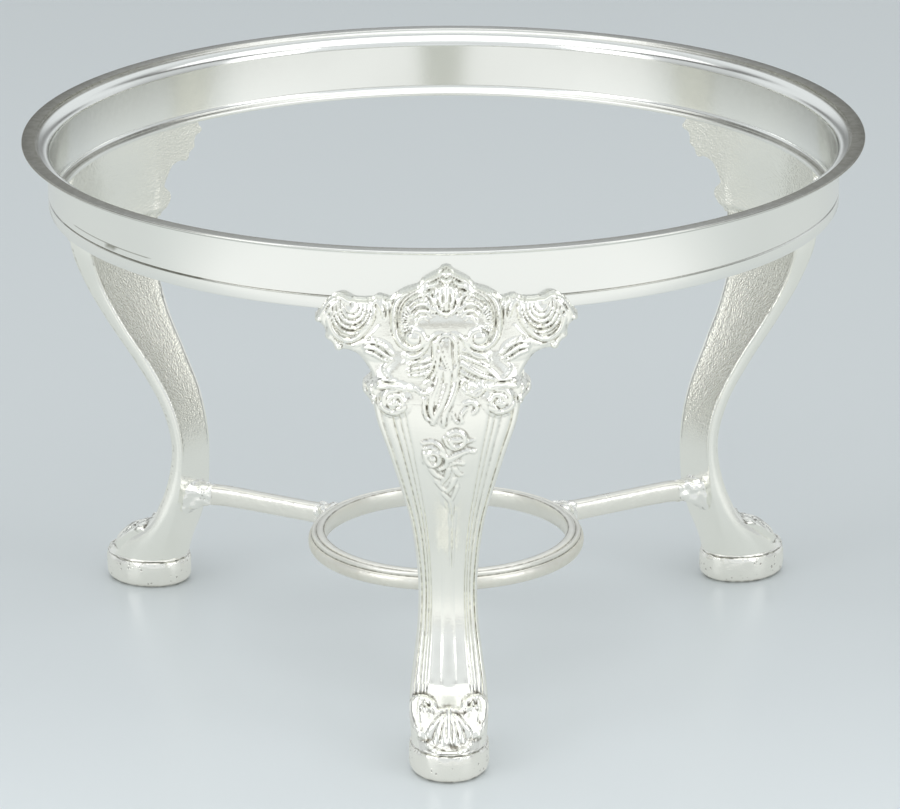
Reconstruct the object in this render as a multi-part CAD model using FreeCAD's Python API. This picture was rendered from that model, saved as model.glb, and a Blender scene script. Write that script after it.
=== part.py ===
import FreeCAD
import Part
import math
import os

Vector = FreeCAD.Vector

# Whole stand, in millimetres: the floor is z = 0 and the collar's axis is the Z axis
stand_height = 191.7
leg_count = 3
full_turn = 360.0

# Spun collar that the dish sits in
rim_radius = 150.0
band_radius = 141.0
band_wall = 1.2
collar_depth = 24.2
flange_width = 4.4
flange_step = 1.1
cove_height = 6.6
cove_knee_share = 0.707
seat_width = 3.2

# Ring that holds the burner
burner_bore_radius = 44.3
burner_ring_width = 6.0
burner_ring_height = 6.8
burner_ring_level = 35.0
ring_bevel = 1.5

# Stretcher arms between the ring and the legs
arm_width = 5.6
arm_height = 7.4
arm_crown = 1.9
arm_level = 34.4
arm_overrun = 6.0

# Cast leg: shaft, fluted at its edges and hollow behind
leg_sweep = 33.4
shaft_width = 50.0
shaft_side = 8.4
shaft_crown = 3.2
flute_depth = 0.9
flutes_each_side = 2
flute_zone_share = 0.50
hollow_depth = 2.4
hollow_edge = 2.2
sole_inset = 1.0

# Cast leg: head plate against the collar
head_half_width = 43.9
head_base_drop = 30.5
head_overlap = 16.9
plate_back = 4.1
plate_front = 2.2
boss_root = 1.9
volute_radius = 4.9
volute_height = 4.6
volute_spread = 17.6
volute_drop = 28.4
knob_radius = 3.2
knob_height = 2.4
knob_spread = 25.3
knob_drop = 26.2
shell_half_width = 10.8
shell_half_height = 12.6
shell_height = 2.6
shell_spread = 33.2
shell_rise = 4.6
cartouche_half_width = 17.4
cartouche_half_height = 9.6
cartouche_height = 4.4
cartouche_drop = 3.0
scroll_eye_radius = 3.8
scroll_eye_height = 5.2
scroll_eye_spread = 11.3
scroll_eye_drop = 8.6
bud_half_width = 4.2
bud_half_height = 6.4
bud_height = 4.6
bud_rise = 8.6
drop_half_width = 3.4
drop_half_height = 10.5
drop_height = 5.2
drop_drop = 16.2

# Cast leg: ornament on the instep
toe_eye_radius = 4.2
toe_eye_height = 1.9
toe_eye_spread = 7.4
toe_eye_level = 20.0
toe_eye_inset = 0.2
toe_slope = 63.0
toe_fan_half_width = 4.2
toe_fan_half_length = 6.4
toe_fan_level = 17.4
toe_fan_reach = 5.0

# Sides of the ornament's rounds and of the foot's oval
fine_sides = 12
small_sides = 8
solder_sides = 6
oval_sides = 20
side_start_share = 0.5

# Foot pad under each leg, with its solder seam
pad_length = 33.6
pad_width = 28.0
pad_height = 10.3
pad_reach_inset = 11.7
pad_foot_round = 2.6
pad_top_round = 0.9
seam_gap = 0.6
seam_inset = 0.9

# Solder left at the joints of the arms
solder_leg_skirt = 2.6
solder_leg_length = 3.2
solder_ring_skirt = 1.2
solder_ring_length = 2.2

# One overrun for every cutting body
cut_overrun = 20.0

# Places that follow from the sizes above
collar_bottom = stand_height - collar_depth
leg_bottom = pad_height + seam_gap
leg_rise = collar_bottom - leg_bottom
ring_outer_radius = burner_bore_radius + burner_ring_width
seat_opening_radius = band_radius - band_wall - seat_width
pad_reach = band_radius - pad_reach_inset
heel_reach = pad_reach - pad_length / 2 + sole_inset
skin_reach = band_radius + plate_front

# Shaft stations, top to instep: height share of the leg's rise, sweep share of
# leg_sweep, side share of shaft_side, crown share of shaft_crown, width share
# of shaft_width, hollow share of hollow_depth, flute share of flute_depth, and
# how far the outline has turned into the pad's oval
station_shares = (
    (1.000, 0.123, 0.70, 0.40, 0.900, 1.00, 0.10, 0.00),
    (0.860, 0.123, 0.97, 0.76, 0.985, 1.00, 0.55, 0.00),
    (0.780, 0.124, 0.96, 0.96, 0.950, 1.00, 1.00, 0.00),
    (0.690, 0.172, 0.77, 1.00, 0.785, 1.00, 1.00, 0.00),
    (0.590, 0.373, 0.66, 1.00, 0.625, 0.95, 1.00, 0.00),
    (0.495, 0.648, 0.62, 0.95, 0.500, 0.80, 1.00, 0.00),
    (0.400, 0.884, 0.53, 0.88, 0.426, 0.45, 0.95, 0.00),
    (0.300, 0.995, 0.48, 0.85, 0.391, 0.08, 0.90, 0.00),
    (0.225, 0.996, 0.60, 0.89, 0.412, 0.00, 0.85, 0.07),
    (0.150, 0.955, 0.86, 0.96, 0.472, 0.00, 0.78, 0.22),
    (0.095, 0.890, 1.20, 1.00, 0.522, 0.00, 0.55, 0.45),
    (0.050, 0.860, 2.35, 0.98, 0.540, 0.00, 0.28, 0.75),
)

# Right half of the head's outline, from the crest down: share of
# head_half_width across, and share of head_overlap above the collar's bottom
# edge or, where negative, share of head_base_drop below it
head_outline_shares = (
    (0.000, 1.000),
    (0.064, 0.890),
    (0.203, 0.665),
    (0.210, 0.580),
    (0.400, 0.420),
    (0.440, 0.340),
    (0.540, 0.370),
    (0.760, 0.310),
    (0.850, 0.345),
    (0.915, 0.250),
    (0.970, 0.000),
    (1.000, -0.140),
    (0.918, -0.207),
    (0.911, -0.328),
    (0.830, -0.452),
    (0.750, -0.436),
    (0.667, -0.449),
    (0.610, -0.540),
    (0.570, -0.700),
    (0.560, -1.000),
)

# Raised forms, from the edge to the crown: share of the half width and half
# height, share of the form's height
dome_shares = ((0.92, 0.40), (0.45, 1.00))
eye_shares = ((0.88, 1.00), (0.56, 0.60), (0.28, 1.00))
cartouche_shares = ((0.90, 1.00), (0.76, 0.50), (0.35, 0.80))
shell_shares = ((0.92, 1.00), (0.70, 0.40), (0.54, 1.00), (0.34, 0.40))

# Foot pad, bottom to top: share of the lower round's size that the oval is
# drawn in by, and share of it already climbed
foot_round_shares = ((1.0, 0.0), (0.25, 0.35), (0.0, 1.0))


def outward(across, reach, height):
    """Point on the front leg: across the leg, out from the axis, and up."""
    return Vector(across, -reach, height)


def line(start, end):
    """Straight edge between two points."""
    return Part.LineSegment(start, end).toShape()


def outline(points):
    """Closed wire of straight edges through a list of points."""
    return Part.Wire([line(start, end) for start, end in zip(points, points[1:] + points[:1])])


def skinned(rings):
    """Solid with flat facets through a stack of rings that have equal counts of points."""
    faces = [Part.Face(outline(rings[0])), Part.Face(outline(rings[-1]))]
    for low, high in zip(rings, rings[1:]):
        following = zip(low, high, low[1:] + low[:1], high[1:] + high[:1])
        for near, above, beside, opposite in following:
            faces.append(Part.Face(outline([near, beside, opposite])))
            faces.append(Part.Face(outline([near, opposite, above])))
    solid = Part.Solid(Part.makeShell(faces))
    return solid if solid.Volume > 0 else Part.Solid(solid.reversed().Shells[0])


def single(shape):
    """The largest solid of a shape."""
    return max(shape.Solids, key=lambda solid: solid.Volume)


def revolve(points):
    """Closed profile of (radius, height) points turned about the Z axis."""
    wire = outline([Vector(radius, 0, height) for radius, height in points])
    turned = Part.Face(wire).revolve(Vector(0, 0, 0), Vector(0, 0, 1), full_turn)
    return single(turned)


def cylinder(radius, low, high):
    """Upright cylinder on the stand's axis."""
    return Part.makeCylinder(radius, high - low, Vector(0, 0, low))


def around(shape, index):
    """Copy of a front-leg shape, turned to the leg with this index."""
    turned = shape.copy()
    turned.rotate(Vector(0, 0, 0), Vector(0, 0, 1), index * full_turn / leg_count)
    return turned


def build_collar():
    """Drawn band with a flared rim and a turned-in seat."""
    top = stand_height
    flange_inner = rim_radius - flange_width
    lip = flange_inner - flange_step
    cove_foot = top - flange_step - cove_height
    flare = (lip - band_radius + band_wall) * (1 - cove_knee_share)
    knee = cove_foot + cove_height * cove_knee_share
    inner_wall = band_radius - band_wall
    return revolve([
        (rim_radius, top),
        (rim_radius, top - band_wall),
        (lip + band_wall, top - flange_step - band_wall),
        (band_radius + flare, knee),
        (band_radius, cove_foot),
        (band_radius, collar_bottom),
        (seat_opening_radius, collar_bottom),
        (seat_opening_radius, collar_bottom + band_wall),
        (inner_wall, collar_bottom + band_wall),
        (inner_wall, cove_foot),
        (inner_wall + flare, knee),
        (lip, top - flange_step),
        (flange_inner, top),
    ])


def build_burner_ring():
    """Ring with a flat bore and a bevelled top edge."""
    low = burner_ring_level
    high = low + burner_ring_height
    return revolve([
        (burner_bore_radius, low),
        (burner_bore_radius, high),
        (ring_outer_radius - ring_bevel, high),
        (ring_outer_radius, high - ring_bevel),
        (ring_outer_radius, low),
    ])


def station(shares):
    """Sizes of the leg at one height, from its row of shares."""
    height, sweep, side, crown, width, hollow, flute, turned = shares
    return {
        "z": leg_bottom + leg_rise * height,
        "back": band_radius - leg_sweep * sweep,
        "side": shaft_side * side,
        "crown": shaft_crown * crown,
        "half": shaft_width * width / 2,
        "hollow": hollow_depth * hollow,
        "flute": flute_depth * flute,
        "oval": turned,
    }


def sole():
    """Sizes of the leg's underside, which is the pad's oval drawn in a little."""
    return {
        "z": leg_bottom,
        "back": heel_reach,
        "side": pad_length - 2 * sole_inset - shaft_crown,
        "crown": shaft_crown,
        "half": pad_width / 2 - sole_inset,
        "hollow": 0,
        "flute": 0,
        "oval": 1,
    }


def section_points(size):
    """Half outline of the shaft, from the hollow back round to the middle of the front."""
    half = size["half"]
    back = size["back"]
    edge = back + size["side"]
    rim = half - hollow_edge
    panel = half * flute_zone_share
    pitch = (half - panel) / flutes_each_side

    def front(across, sunk=0):
        return (across, edge + size["crown"] * (1 - (across / half) ** 2) - sunk)

    points = [(rim / 2, back + size["hollow"]), (rim, back), (half, back), (half, back + size["side"] / 2)]
    for flute in range(flutes_each_side):
        across = half - flute * pitch
        points.append(front(across))
        points.append(front(across - pitch / 2, size["flute"]))
    points.append(front(panel))
    points.append(front(panel / 2))
    points.append(front(0))
    return points


def to_oval(point, size):
    """A point of the outline, moved towards the oval that it turns into."""
    across, reach = point
    depth = (size["side"] + size["crown"]) / 2
    middle = size["back"] + depth
    stretch = math.hypot(across / size["half"], (reach - middle) / depth)
    share = size["oval"] * (1 / stretch - 1) + 1
    return (across * share, middle + (reach - middle) * share)


def leg_section(size):
    """Ring of points round the shaft at one height."""
    right = [to_oval(point, size) for point in section_points(size)]
    left = [(-across, reach) for across, reach in right[-2::-1]]
    return [outward(across, reach, size["z"]) for across, reach in right + left]


def build_shaft():
    """Skin from the head down to the foot's oval underside."""
    sizes = [station(shares) for shares in station_shares] + [sole()]
    return skinned([leg_section(size) for size in sizes])


def head_point(shares, side):
    """Point of the head's outline from its shares, on one side."""
    across, up = shares
    rise = head_overlap if up > 0 else head_base_drop
    return Vector(side * head_half_width * across, 0, collar_bottom + rise * up)


def build_head_plate():
    """Outline plate bent round the collar."""
    right = [head_point(shares, 1) for shares in head_outline_shares]
    left = [head_point(shares, -1) for shares in head_outline_shares[:0:-1]]
    block = Part.Face(outline(right + left)).extrude(Vector(0, -(band_radius + cut_overrun), 0))
    low = collar_bottom - head_base_drop - cut_overrun
    high = stand_height + cut_overrun
    bent = block.common(cylinder(skin_reach, low, high))
    return bent.cut(cylinder(band_radius - plate_back, low, high))


def facing_out(across, reach, height, tilt=0):
    """Placement with its Z axis out from the stand, tilted up by some degrees."""
    turn = math.degrees(math.asin(across / reach))
    upright = FreeCAD.Rotation(Vector(1, 0, 0), 90 - tilt)
    swing = FreeCAD.Rotation(Vector(0, 0, 1), turn)
    depth = math.sqrt(reach ** 2 - across ** 2)
    return FreeCAD.Placement(outward(across, depth, height), swing.multiply(upright))


def placed(shape, placement):
    """Copy of a shape moved to a placement."""
    moved = shape.copy()
    moved.Placement = placement.multiply(shape.Placement)
    return moved


def polygon(half_width, half_height, height, sides):
    """Level ring of points on an oval."""
    turns = [2 * math.pi * (index + side_start_share) / sides for index in range(sides)]
    return [Vector(half_width * math.cos(turn), half_height * math.sin(turn), height) for turn in turns]


def boss(shares, half_width, half_height, height, sides):
    """Raised form standing on the XY plane, with its root sunk below it."""
    rings = [polygon(half_width, half_height, -boss_root, sides)]
    rings += [polygon(half_width * out, half_height * out, height * up, sides) for out, up in shares]
    return skinned(rings)


def shell():
    """Nested crescents that open upwards."""
    whole = boss(shell_shares, shell_half_width, shell_half_height, shell_height, fine_sides)
    corner = Vector(-2 * shell_half_width, 0, -2 * boss_root)
    above = Part.makeBox(4 * shell_half_width, 2 * shell_half_height, 4 * shell_height, corner)
    return whole.cut(above)


def head_pairs():
    """Volutes, knobs, scroll eyes and shells, on both sides of the head."""
    volute = boss(eye_shares, volute_radius, volute_radius, volute_height, small_sides)
    knob = boss(dome_shares, knob_radius, knob_radius, knob_height, small_sides)
    eye = boss(eye_shares, scroll_eye_radius, scroll_eye_radius, scroll_eye_height, small_sides)
    placings = (
        (volute, volute_spread, -volute_drop),
        (knob, knob_spread, -knob_drop),
        (eye, scroll_eye_spread, -scroll_eye_drop),
        (shell(), shell_spread, shell_rise),
    )
    return [placed(form, facing_out(side * spread, skin_reach, collar_bottom + rise))
            for form, spread, rise in placings for side in (-1, 1)]


def head_middle():
    """Cartouche, bud and hanging leaf on the middle line."""
    cartouche = boss(cartouche_shares, cartouche_half_width, cartouche_half_height, cartouche_height,
                     fine_sides)
    bud = boss(dome_shares, bud_half_width, bud_half_height, bud_height, small_sides)
    drop = boss(dome_shares, drop_half_width, drop_half_height, drop_height, small_sides)
    placings = ((cartouche, -cartouche_drop), (bud, bud_rise), (drop, -drop_drop))
    return [placed(form, facing_out(0, skin_reach, collar_bottom + rise)) for form, rise in placings]


def toe_ornament():
    """Scroll eyes either side of the instep, with a fan leaf between them."""
    eye = boss(eye_shares, toe_eye_radius, toe_eye_radius, toe_eye_height, small_sides)
    fan = boss(dome_shares, toe_fan_half_width, toe_fan_half_length, toe_eye_height, small_sides)
    forms = [placed(fan, facing_out(0, pad_reach + toe_fan_reach, toe_fan_level, toe_slope))]
    for side in (-1, 1):
        place = facing_out(side * toe_eye_spread, pad_reach + toe_eye_inset, toe_eye_level, toe_slope)
        forms.append(placed(eye, place))
    return forms


def build_leg():
    """One casting: shaft, head plate and the raised forms fused together."""
    body = build_shaft().fuse(build_head_plate())
    body = body.fuse(head_pairs() + head_middle() + toe_ornament())
    collar_space = cylinder(band_radius, collar_bottom, stand_height + cut_overrun)
    below = cylinder(rim_radius + cut_overrun, leg_bottom - cut_overrun, leg_bottom)
    return single(body.cut(collar_space).cut(below).removeSplitter())


def pad_oval(inset, height):
    """Pad's oval, longer outwards than across, drawn in by an inset."""
    ring = polygon(pad_width / 2 - inset, pad_length / 2 - inset, height, oval_sides)
    return [point + outward(0, pad_reach, 0) for point in ring]


def build_pad():
    """Foot pad with a rounded lower edge."""
    ovals = [pad_oval(pad_foot_round * inset, pad_foot_round * up) for inset, up in foot_round_shares]
    ovals.append(pad_oval(0, pad_height - pad_top_round))
    ovals.append(pad_oval(pad_top_round, pad_height))
    return skinned(ovals)


def build_pad_seam():
    """Solder between the casting and its pad, a little inside both."""
    face = Part.Face(outline(pad_oval(seam_inset, pad_height)))
    return single(face.extrude(Vector(0, 0, seam_gap)))


def arm_section(reach):
    """Arm's outline: flat below, upright sides, a crowned top."""
    half = arm_width / 2
    shoulder = arm_level + arm_height - arm_crown
    top = arm_level + arm_height
    return outline([
        outward(-half, reach, arm_level),
        outward(half, reach, arm_level),
        outward(half, reach, shoulder),
        outward(half / 2, reach, top - arm_crown / 4),
        outward(0, reach, top),
        outward(-half / 2, reach, top - arm_crown / 4),
        outward(-half, reach, shoulder),
    ])


def leg_back_at(height):
    """How far out the leg's back is at a height, between its stations."""
    rows = [station(shares) for shares in station_shares]
    for upper, lower in zip(rows, rows[1:]):
        if lower["z"] <= height <= upper["z"]:
            share = (height - lower["z"]) / (upper["z"] - lower["z"])
            return lower["back"] + (upper["back"] - lower["back"]) * share
    return rows[-1]["back"]


def build_arm(leg, ring):
    """Straight arm, its ends shaped to the ring and to the leg's back."""
    start = burner_bore_radius + burner_ring_width / 2
    end = leg_back_at(arm_level + arm_height / 2) + arm_overrun
    bar = Part.Face(arm_section(start)).extrude(outward(0, end - start, 0))
    return single(bar.cut(ring).cut(leg))


def solder_collar(narrow_reach, wide_reach, skirt):
    """Tapered collar of solder about an arm, from its thin end to its wide end."""
    thin = polygon(arm_height / 2, arm_height / 2, 0, solder_sides)
    wide_radius = arm_height / 2 + skirt
    wide = polygon(wide_radius, wide_radius, wide_reach - narrow_reach, solder_sides)
    return placed(skinned([thin, wide]), facing_out(0, narrow_reach, arm_level + arm_height / 2))


def build_leg_solder(leg, arm):
    """Solder where an arm meets its leg."""
    back = leg_back_at(arm_level + arm_height / 2)
    collar = solder_collar(back - solder_leg_length, back + solder_leg_length, solder_leg_skirt)
    return single(collar.cut(leg).cut(arm))


def build_ring_solder(ring, arm):
    """Solder where an arm meets the ring."""
    wide = ring_outer_radius - solder_ring_length
    collar = solder_collar(ring_outer_radius + solder_ring_length, wide, solder_ring_skirt)
    return single(collar.cut(ring).cut(arm))


def build_all():
    """Every piece of the stand, by node name."""
    collar = build_collar()
    ring = build_burner_ring()
    leg = build_leg()
    arm = build_arm(leg, ring)
    pieces = {"collar": collar, "burner_ring": ring}
    repeated = {
        "leg": leg,
        "foot_pad": build_pad(),
        "foot_seam": build_pad_seam(),
        "stretcher_arm": arm,
        "leg_solder": build_leg_solder(leg, arm),
        "ring_solder": build_ring_solder(ring, arm),
    }
    for name, shape in repeated.items():
        for index, place in enumerate(("front", "right", "left")):
            pieces[name + "_" + place] = around(shape, index)
    return pieces


def main():
    """Write one STEP file for each piece."""
    os.makedirs("parts", exist_ok=True)
    for name, shape in build_all().items():
        shape.exportStep("parts/" + name + ".step")
        print(name, shape.ShapeType, len(shape.Faces), round(shape.Volume), shape.isValid())


main()
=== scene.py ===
"""Looks of a chafing dish stand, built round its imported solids."""
import logging
import math
from dataclasses import dataclass, field
from enum import Enum
from typing import Callable, Iterable

import bmesh
import bpy
import numpy as np
from mathutils import Matrix, Vector, noise


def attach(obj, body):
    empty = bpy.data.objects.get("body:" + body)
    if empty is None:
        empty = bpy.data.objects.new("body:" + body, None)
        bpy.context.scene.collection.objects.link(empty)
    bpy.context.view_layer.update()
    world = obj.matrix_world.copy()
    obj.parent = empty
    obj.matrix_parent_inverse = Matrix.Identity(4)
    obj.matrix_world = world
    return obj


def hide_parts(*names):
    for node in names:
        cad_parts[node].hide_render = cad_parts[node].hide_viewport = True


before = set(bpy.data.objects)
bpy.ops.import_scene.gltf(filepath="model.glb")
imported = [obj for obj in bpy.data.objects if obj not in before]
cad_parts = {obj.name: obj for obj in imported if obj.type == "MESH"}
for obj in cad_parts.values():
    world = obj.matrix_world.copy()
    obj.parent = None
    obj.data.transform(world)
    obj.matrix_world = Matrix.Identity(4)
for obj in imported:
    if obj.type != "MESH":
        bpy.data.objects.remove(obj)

log = logging.getLogger("stand")
Array = np.ndarray
Point = tuple[float, float]
Spot = tuple[float, float, float]
Colour = tuple[float, float, float, float]
MM = 0.001


class Place(Enum):
    """Where a leg and its fittings stand, as turns from the front."""

    FRONT = 0
    RIGHT = 1
    LEFT = 2

    def node(self, stem: str) -> str:
        """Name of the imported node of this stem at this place."""
        return f"{stem}_{self.name.lower()}"

    @property
    def turn(self) -> Matrix:
        """Rotation from the front leg to this one."""
        return Matrix.Rotation(math.tau * self.value / 3, 4, "Z")


# Shader maths


class Value:
    """A shader socket that takes part in Python expressions."""

    def __init__(self, bench: "Bench", socket: bpy.types.NodeSocket) -> None:
        """Keeps the socket and the bench that it is on."""
        self.bench = bench
        self.socket = socket

    def _math(self, operation: str, other: object) -> "Value":
        """One Math node over this value and another."""
        return self.bench.add("ShaderNodeMath", {"operation": operation}, {0: self, 1: other})

    def __add__(self, other: object) -> "Value":
        """Sum."""
        return self._math("ADD", other)

    def __sub__(self, other: object) -> "Value":
        """Difference."""
        return self._math("SUBTRACT", other)

    def __mul__(self, other: object) -> "Value":
        """Product."""
        return self._math("MULTIPLY", other)

    __radd__ = __add__
    __rmul__ = __mul__

    def between(self, low: float, high: float) -> "Value":
        """0 at low, 1 at high, smooth in between."""
        return self.bench.add("ShaderNodeMapRange", {"interpolation_type": "SMOOTHSTEP"},
                              {"Value": self, "From Min": low, "From Max": high})


class Bench:
    """Node tree of one material or world, and the one way that nodes are added to it."""

    def __init__(self, tree: bpy.types.NodeTree) -> None:
        """Takes over a node tree and clears it."""
        self.tree = tree
        tree.nodes.clear()

    def add(self, kind: str, settings: dict | None = None, inputs: dict | None = None,
            output: object = 0) -> Value:
        """Adds a node, sets it up and fills its sockets.

        Args:
            kind: the node's type.
            settings: its properties, set before its sockets are filled.
            inputs: values or linked Values by socket name or index.
            output: name or index of the socket that is handed back.

        Returns:
            The output socket as a Value, or the first input's where the node has no output.
        """
        node = self.tree.nodes.new(kind)
        for name, setting in (settings or {}).items():
            setattr(node, name, setting)
        for name, given in (inputs or {}).items():
            if isinstance(given, Value):
                self.tree.links.new(given.socket, node.inputs[name])
            else:
                node.inputs[name].default_value = given
        return Value(self, node.outputs[output] if len(node.outputs) else node.inputs[0])

    def where(self, output: str = "Object") -> Value:
        """Coordinates on the object, or another kind by name."""
        return self.add("ShaderNodeTexCoord", output=output)

    def axes(self, where: Value) -> tuple[Value, ...]:
        """Coordinates one by one."""
        return tuple(self.add("ShaderNodeSeparateXYZ", None, {"Vector": where}, axis) for axis in "XYZ")

    def noise(self, where: Value, scale: float, detail: float = 3.0, roughness: float = 0.55) -> Value:
        """Soft noise between 0 and 1."""
        return self.add("ShaderNodeTexNoise", {"noise_dimensions": "3D"},
                        {"Vector": where, "Scale": scale, "Detail": detail, "Roughness": roughness}, "Fac")

    def cells(self, where: Value, scale: float) -> Value:
        """Distance to the nearest of scattered points."""
        return self.add("ShaderNodeTexVoronoi", {"feature": "F1"}, {"Vector": where, "Scale": scale},
                        "Distance")

    def stretched(self, where: Value, scale: Spot) -> Value:
        """Coordinates stretched along the axes."""
        return self.add("ShaderNodeMapping", {"vector_type": "POINT"}, {"Vector": where, "Scale": scale})

    def attribute(self, name: str) -> Value:
        """A number painted on the mesh."""
        return self.add("ShaderNodeAttribute", {"attribute_name": name}, None, "Fac")

    def blend(self, low: object, high: object, factor: Value) -> Value:
        """Colour between two colours, by the Mix node's sockets for colours."""
        return self.add("ShaderNodeMix", {"data_type": "RGBA"}, {0: factor, 6: low, 7: high}, 2)


def rgb(*screen: float) -> Colour:
    """Linear colour from a colour as a screen shows it.

    Args:
        screen: red, green and blue, 0 to 255.

    Returns:
        Linear red, green and blue, and full opacity.
    """
    shares = [value / 255 for value in screen]
    linear = [share / 12.92 if share <= 0.04045 else ((share + 0.055) / 1.055) ** 2.4 for share in shares]
    return (*linear, 1.0)


@dataclass(frozen=True)
class SilverFinish:
    """Silver plate as one of the stand's makers would leave it."""

    name: str
    slot: str
    bright: Colour = rgb(251, 251, 247)
    # colour of tarnished silver, also used for the painted shade in recesses
    tarnish_and_shade: Colour = rgb(196, 188, 164)
    # colour of the painted dark lines: painted shade and dark reflections in creases, grooves and steps, and
    # dark seams
    crease: Colour = rgb(128, 124, 112)
    hammered: Colour = rgb(233, 232, 223)
    pit: Colour = rgb(120, 112, 96)
    roughness: float = 0.2
    roughness_spread: float = 0.1
    tarnish_amount: float = 0.25
    broken: float = 0.8
    satin: float = 0.03
    grain: float = 0.02
    scratch: float = 0.02
    hammer: float = 0.0
    lumps: float = 0.0
    pits: float = 0.0
    bump: float = 0.0004
    cloud_scale: float = 38.0
    speck_scale: float = 420.0
    grain_scale: float = 900.0
    dent_scale: float = 1450.0
    knock_scale: float = 800.0
    lump_scale: float = 210.0
    pit_scale: float = 620.0
    pit_patch_scale: float = 240.0
    scratch_lines: Spot = (60.0, 900.0, 900.0)
    scratch_cross: Spot = (800.0, 70.0, 500.0)

    def build(self) -> bpy.types.Material:
        """Makes the material.

        Returns:
            The finished material.
        """
        material = bpy.data.materials.new(self.name)
        material.use_nodes = True
        bench = Bench(material.node_tree)
        where = bench.where()
        cloud = bench.noise(where, self.cloud_scale, 4.0)
        recess, rough_cast = bench.attribute("recess"), bench.attribute("hammer")
        rough = self.roughness + cloud * self.roughness_spread + recess * 0.12 + rough_cast * self.satin
        colour = self.stained(bench, where, cloud, recess)
        height = self.surface(bench, where)
        if self.hammer:
            dents = bench.cells(bench.stretched(where, (1.0, 1.0, 0.85)), self.dent_scale)
            dents = dents + bench.noise(where, self.knock_scale, 2.0)
            height = height + rough_cast * dents * self.hammer
            colour = bench.blend(colour, self.hammered, rough_cast * rough_cast)
        if self.lumps:
            height = height + bench.noise(where, self.lump_scale, 2.0) * self.lumps
        if self.pits:
            holes = bench.cells(where, self.pit_scale).between(0.34, 0.12)
            holes = holes * bench.noise(where, self.pit_patch_scale, 2.0).between(0.52, 0.6)
            height = height - holes * self.pits
            colour = bench.blend(colour, self.pit, holes * self.pits)
        normal = bench.add("ShaderNodeBump", None, {"Strength": 1.0, "Distance": self.bump, "Height": height})
        metal = bench.add("ShaderNodeBsdfPrincipled", None, {
            "Base Color": colour, "Metallic": 1.0, "Roughness": rough, "Normal": normal})
        bench.add("ShaderNodeOutputMaterial", None, {"Surface": metal})
        return material

    def stained(self, bench: Bench, where: Value, cloud: Value, recess: Value) -> Value:
        """Colour of the plate: tarnished patches, painted shade in its recesses and painted dark lines in its
        creases.

        Args:
            bench: the material's bench.
            where: coordinates on the piece.
            cloud: soft patches.
            recess: how deep in a recess a place is, which darkens it partly as tarnishing and partly as
                painted shade.

        Returns:
            The colour.
        """
        specks = bench.noise(where, self.speck_scale, 3.0)
        veil = cloud.between(0.48, 0.75) * self.tarnish_amount
        # Painted shade: recesses darken towards the tarnished colour, partly tarnishing and partly the shade
        # that falls there.
        recess_tarnish_and_shade = recess * (0.4 + specks * 0.9) * self.tarnish_amount * 1.6
        colour = bench.blend(self.bright, self.tarnish_and_shade, (veil * 0.5 + recess_tarnish_and_shade).between(0.0, 1.4))
        patchy = specks.between(0.4, 0.6) * self.broken + (1 - self.broken)
        # Painted shade: the line paint darkens creases, grooves, steps and seams as lines of shade and dark
        # reflection.
        return bench.blend(colour, self.crease, bench.attribute("line") * patchy)

    def surface(self, bench: Bench, where: Value) -> Value:
        """Height of the plate's grain and scratches.

        Args:
            bench: the material's bench.
            where: coordinates on the piece.

        Returns:
            The height, as a share of the bump's depth.
        """
        grain = bench.noise(where, self.grain_scale, 4.0, 0.6) * self.grain
        lines = bench.noise(bench.stretched(where, self.scratch_lines), 1.0, 2.0)
        cross = bench.noise(bench.stretched(where, self.scratch_cross), 1.0, 2.0)
        return grain + (lines.between(0.55, 0.7) + cross.between(0.57, 0.7)) * self.scratch


SPUN = SilverFinish("spun_silver", "spun_plate", rgb(243, 244, 241), crease=rgb(124, 121, 106),
                    roughness=0.12, roughness_spread=0.06, tarnish_amount=0.16, grain=0.001, scratch=0.0,
                    satin=0.02, broken=0.1)
DRAWN = SilverFinish("drawn_silver", "drawn_plate", rgb(242, 241, 234), roughness=0.24, tarnish_amount=0.4,
                     grain=0.1, scratch=0.05, lumps=0.5, broken=0.4)
CAST = SilverFinish("cast_silver", "cast_plate", rgb(252, 252, 246), roughness=0.13, tarnish_amount=0.2,
                    grain=0.09, hammer=0.75)
FOOT = SilverFinish("foot_silver", "pad_plate", rgb(250, 249, 243), roughness=0.12, tarnish_amount=0.24,
                    grain=0.1, scratch=0.05, pits=0.5, lumps=0.8)
SOLDER = SilverFinish("solder_silver", "solder", roughness=0.17, grain=0.12, pits=0.35, lumps=0.7)


class Finishes:
    """Every finish, made once."""

    def __init__(self) -> None:
        """Starts with none made."""
        self.made: dict[str, bpy.types.Material] = {}

    def dress(self, piece: bpy.types.Object, finish: SilverFinish) -> None:
        """Gives a piece its finish.

        Args:
            piece: the piece.
            finish: the finish that it gets.
        """
        if finish.name not in self.made:
            self.made[finish.name] = finish.build()
        piece.data.materials.append(self.made[finish.name])


FINISHES = Finishes()


# Curves


def track(where: Array, stations: Array, values: Array) -> Array:
    """Smooth curve through stations.

    Args:
        where: places at which the curve is read.
        stations: ascending places of the known values.
        values: the known values.

    Returns:
        The curve's values.
    """
    slopes = np.gradient(values, stations)
    index = np.clip(np.searchsorted(stations, where) - 1, 0, len(stations) - 2)
    width = stations[index + 1] - stations[index]
    share = np.clip((where - stations[index]) / width, 0, 1)
    square = share * share
    cube = square * share
    return ((2 * cube - 3 * square + 1) * values[index] + (cube - 2 * square + share) * width * slopes[index]
            + (3 * square - 2 * cube) * values[index + 1] + (cube - square) * width * slopes[index + 1])


def step(value: Array, low: object, high: object) -> Array:
    """0 below low, 1 above high, smooth in between."""
    share = np.clip((value - low) / (high - low), 0, 1)
    return share * share * (3 - 2 * share)


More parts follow.
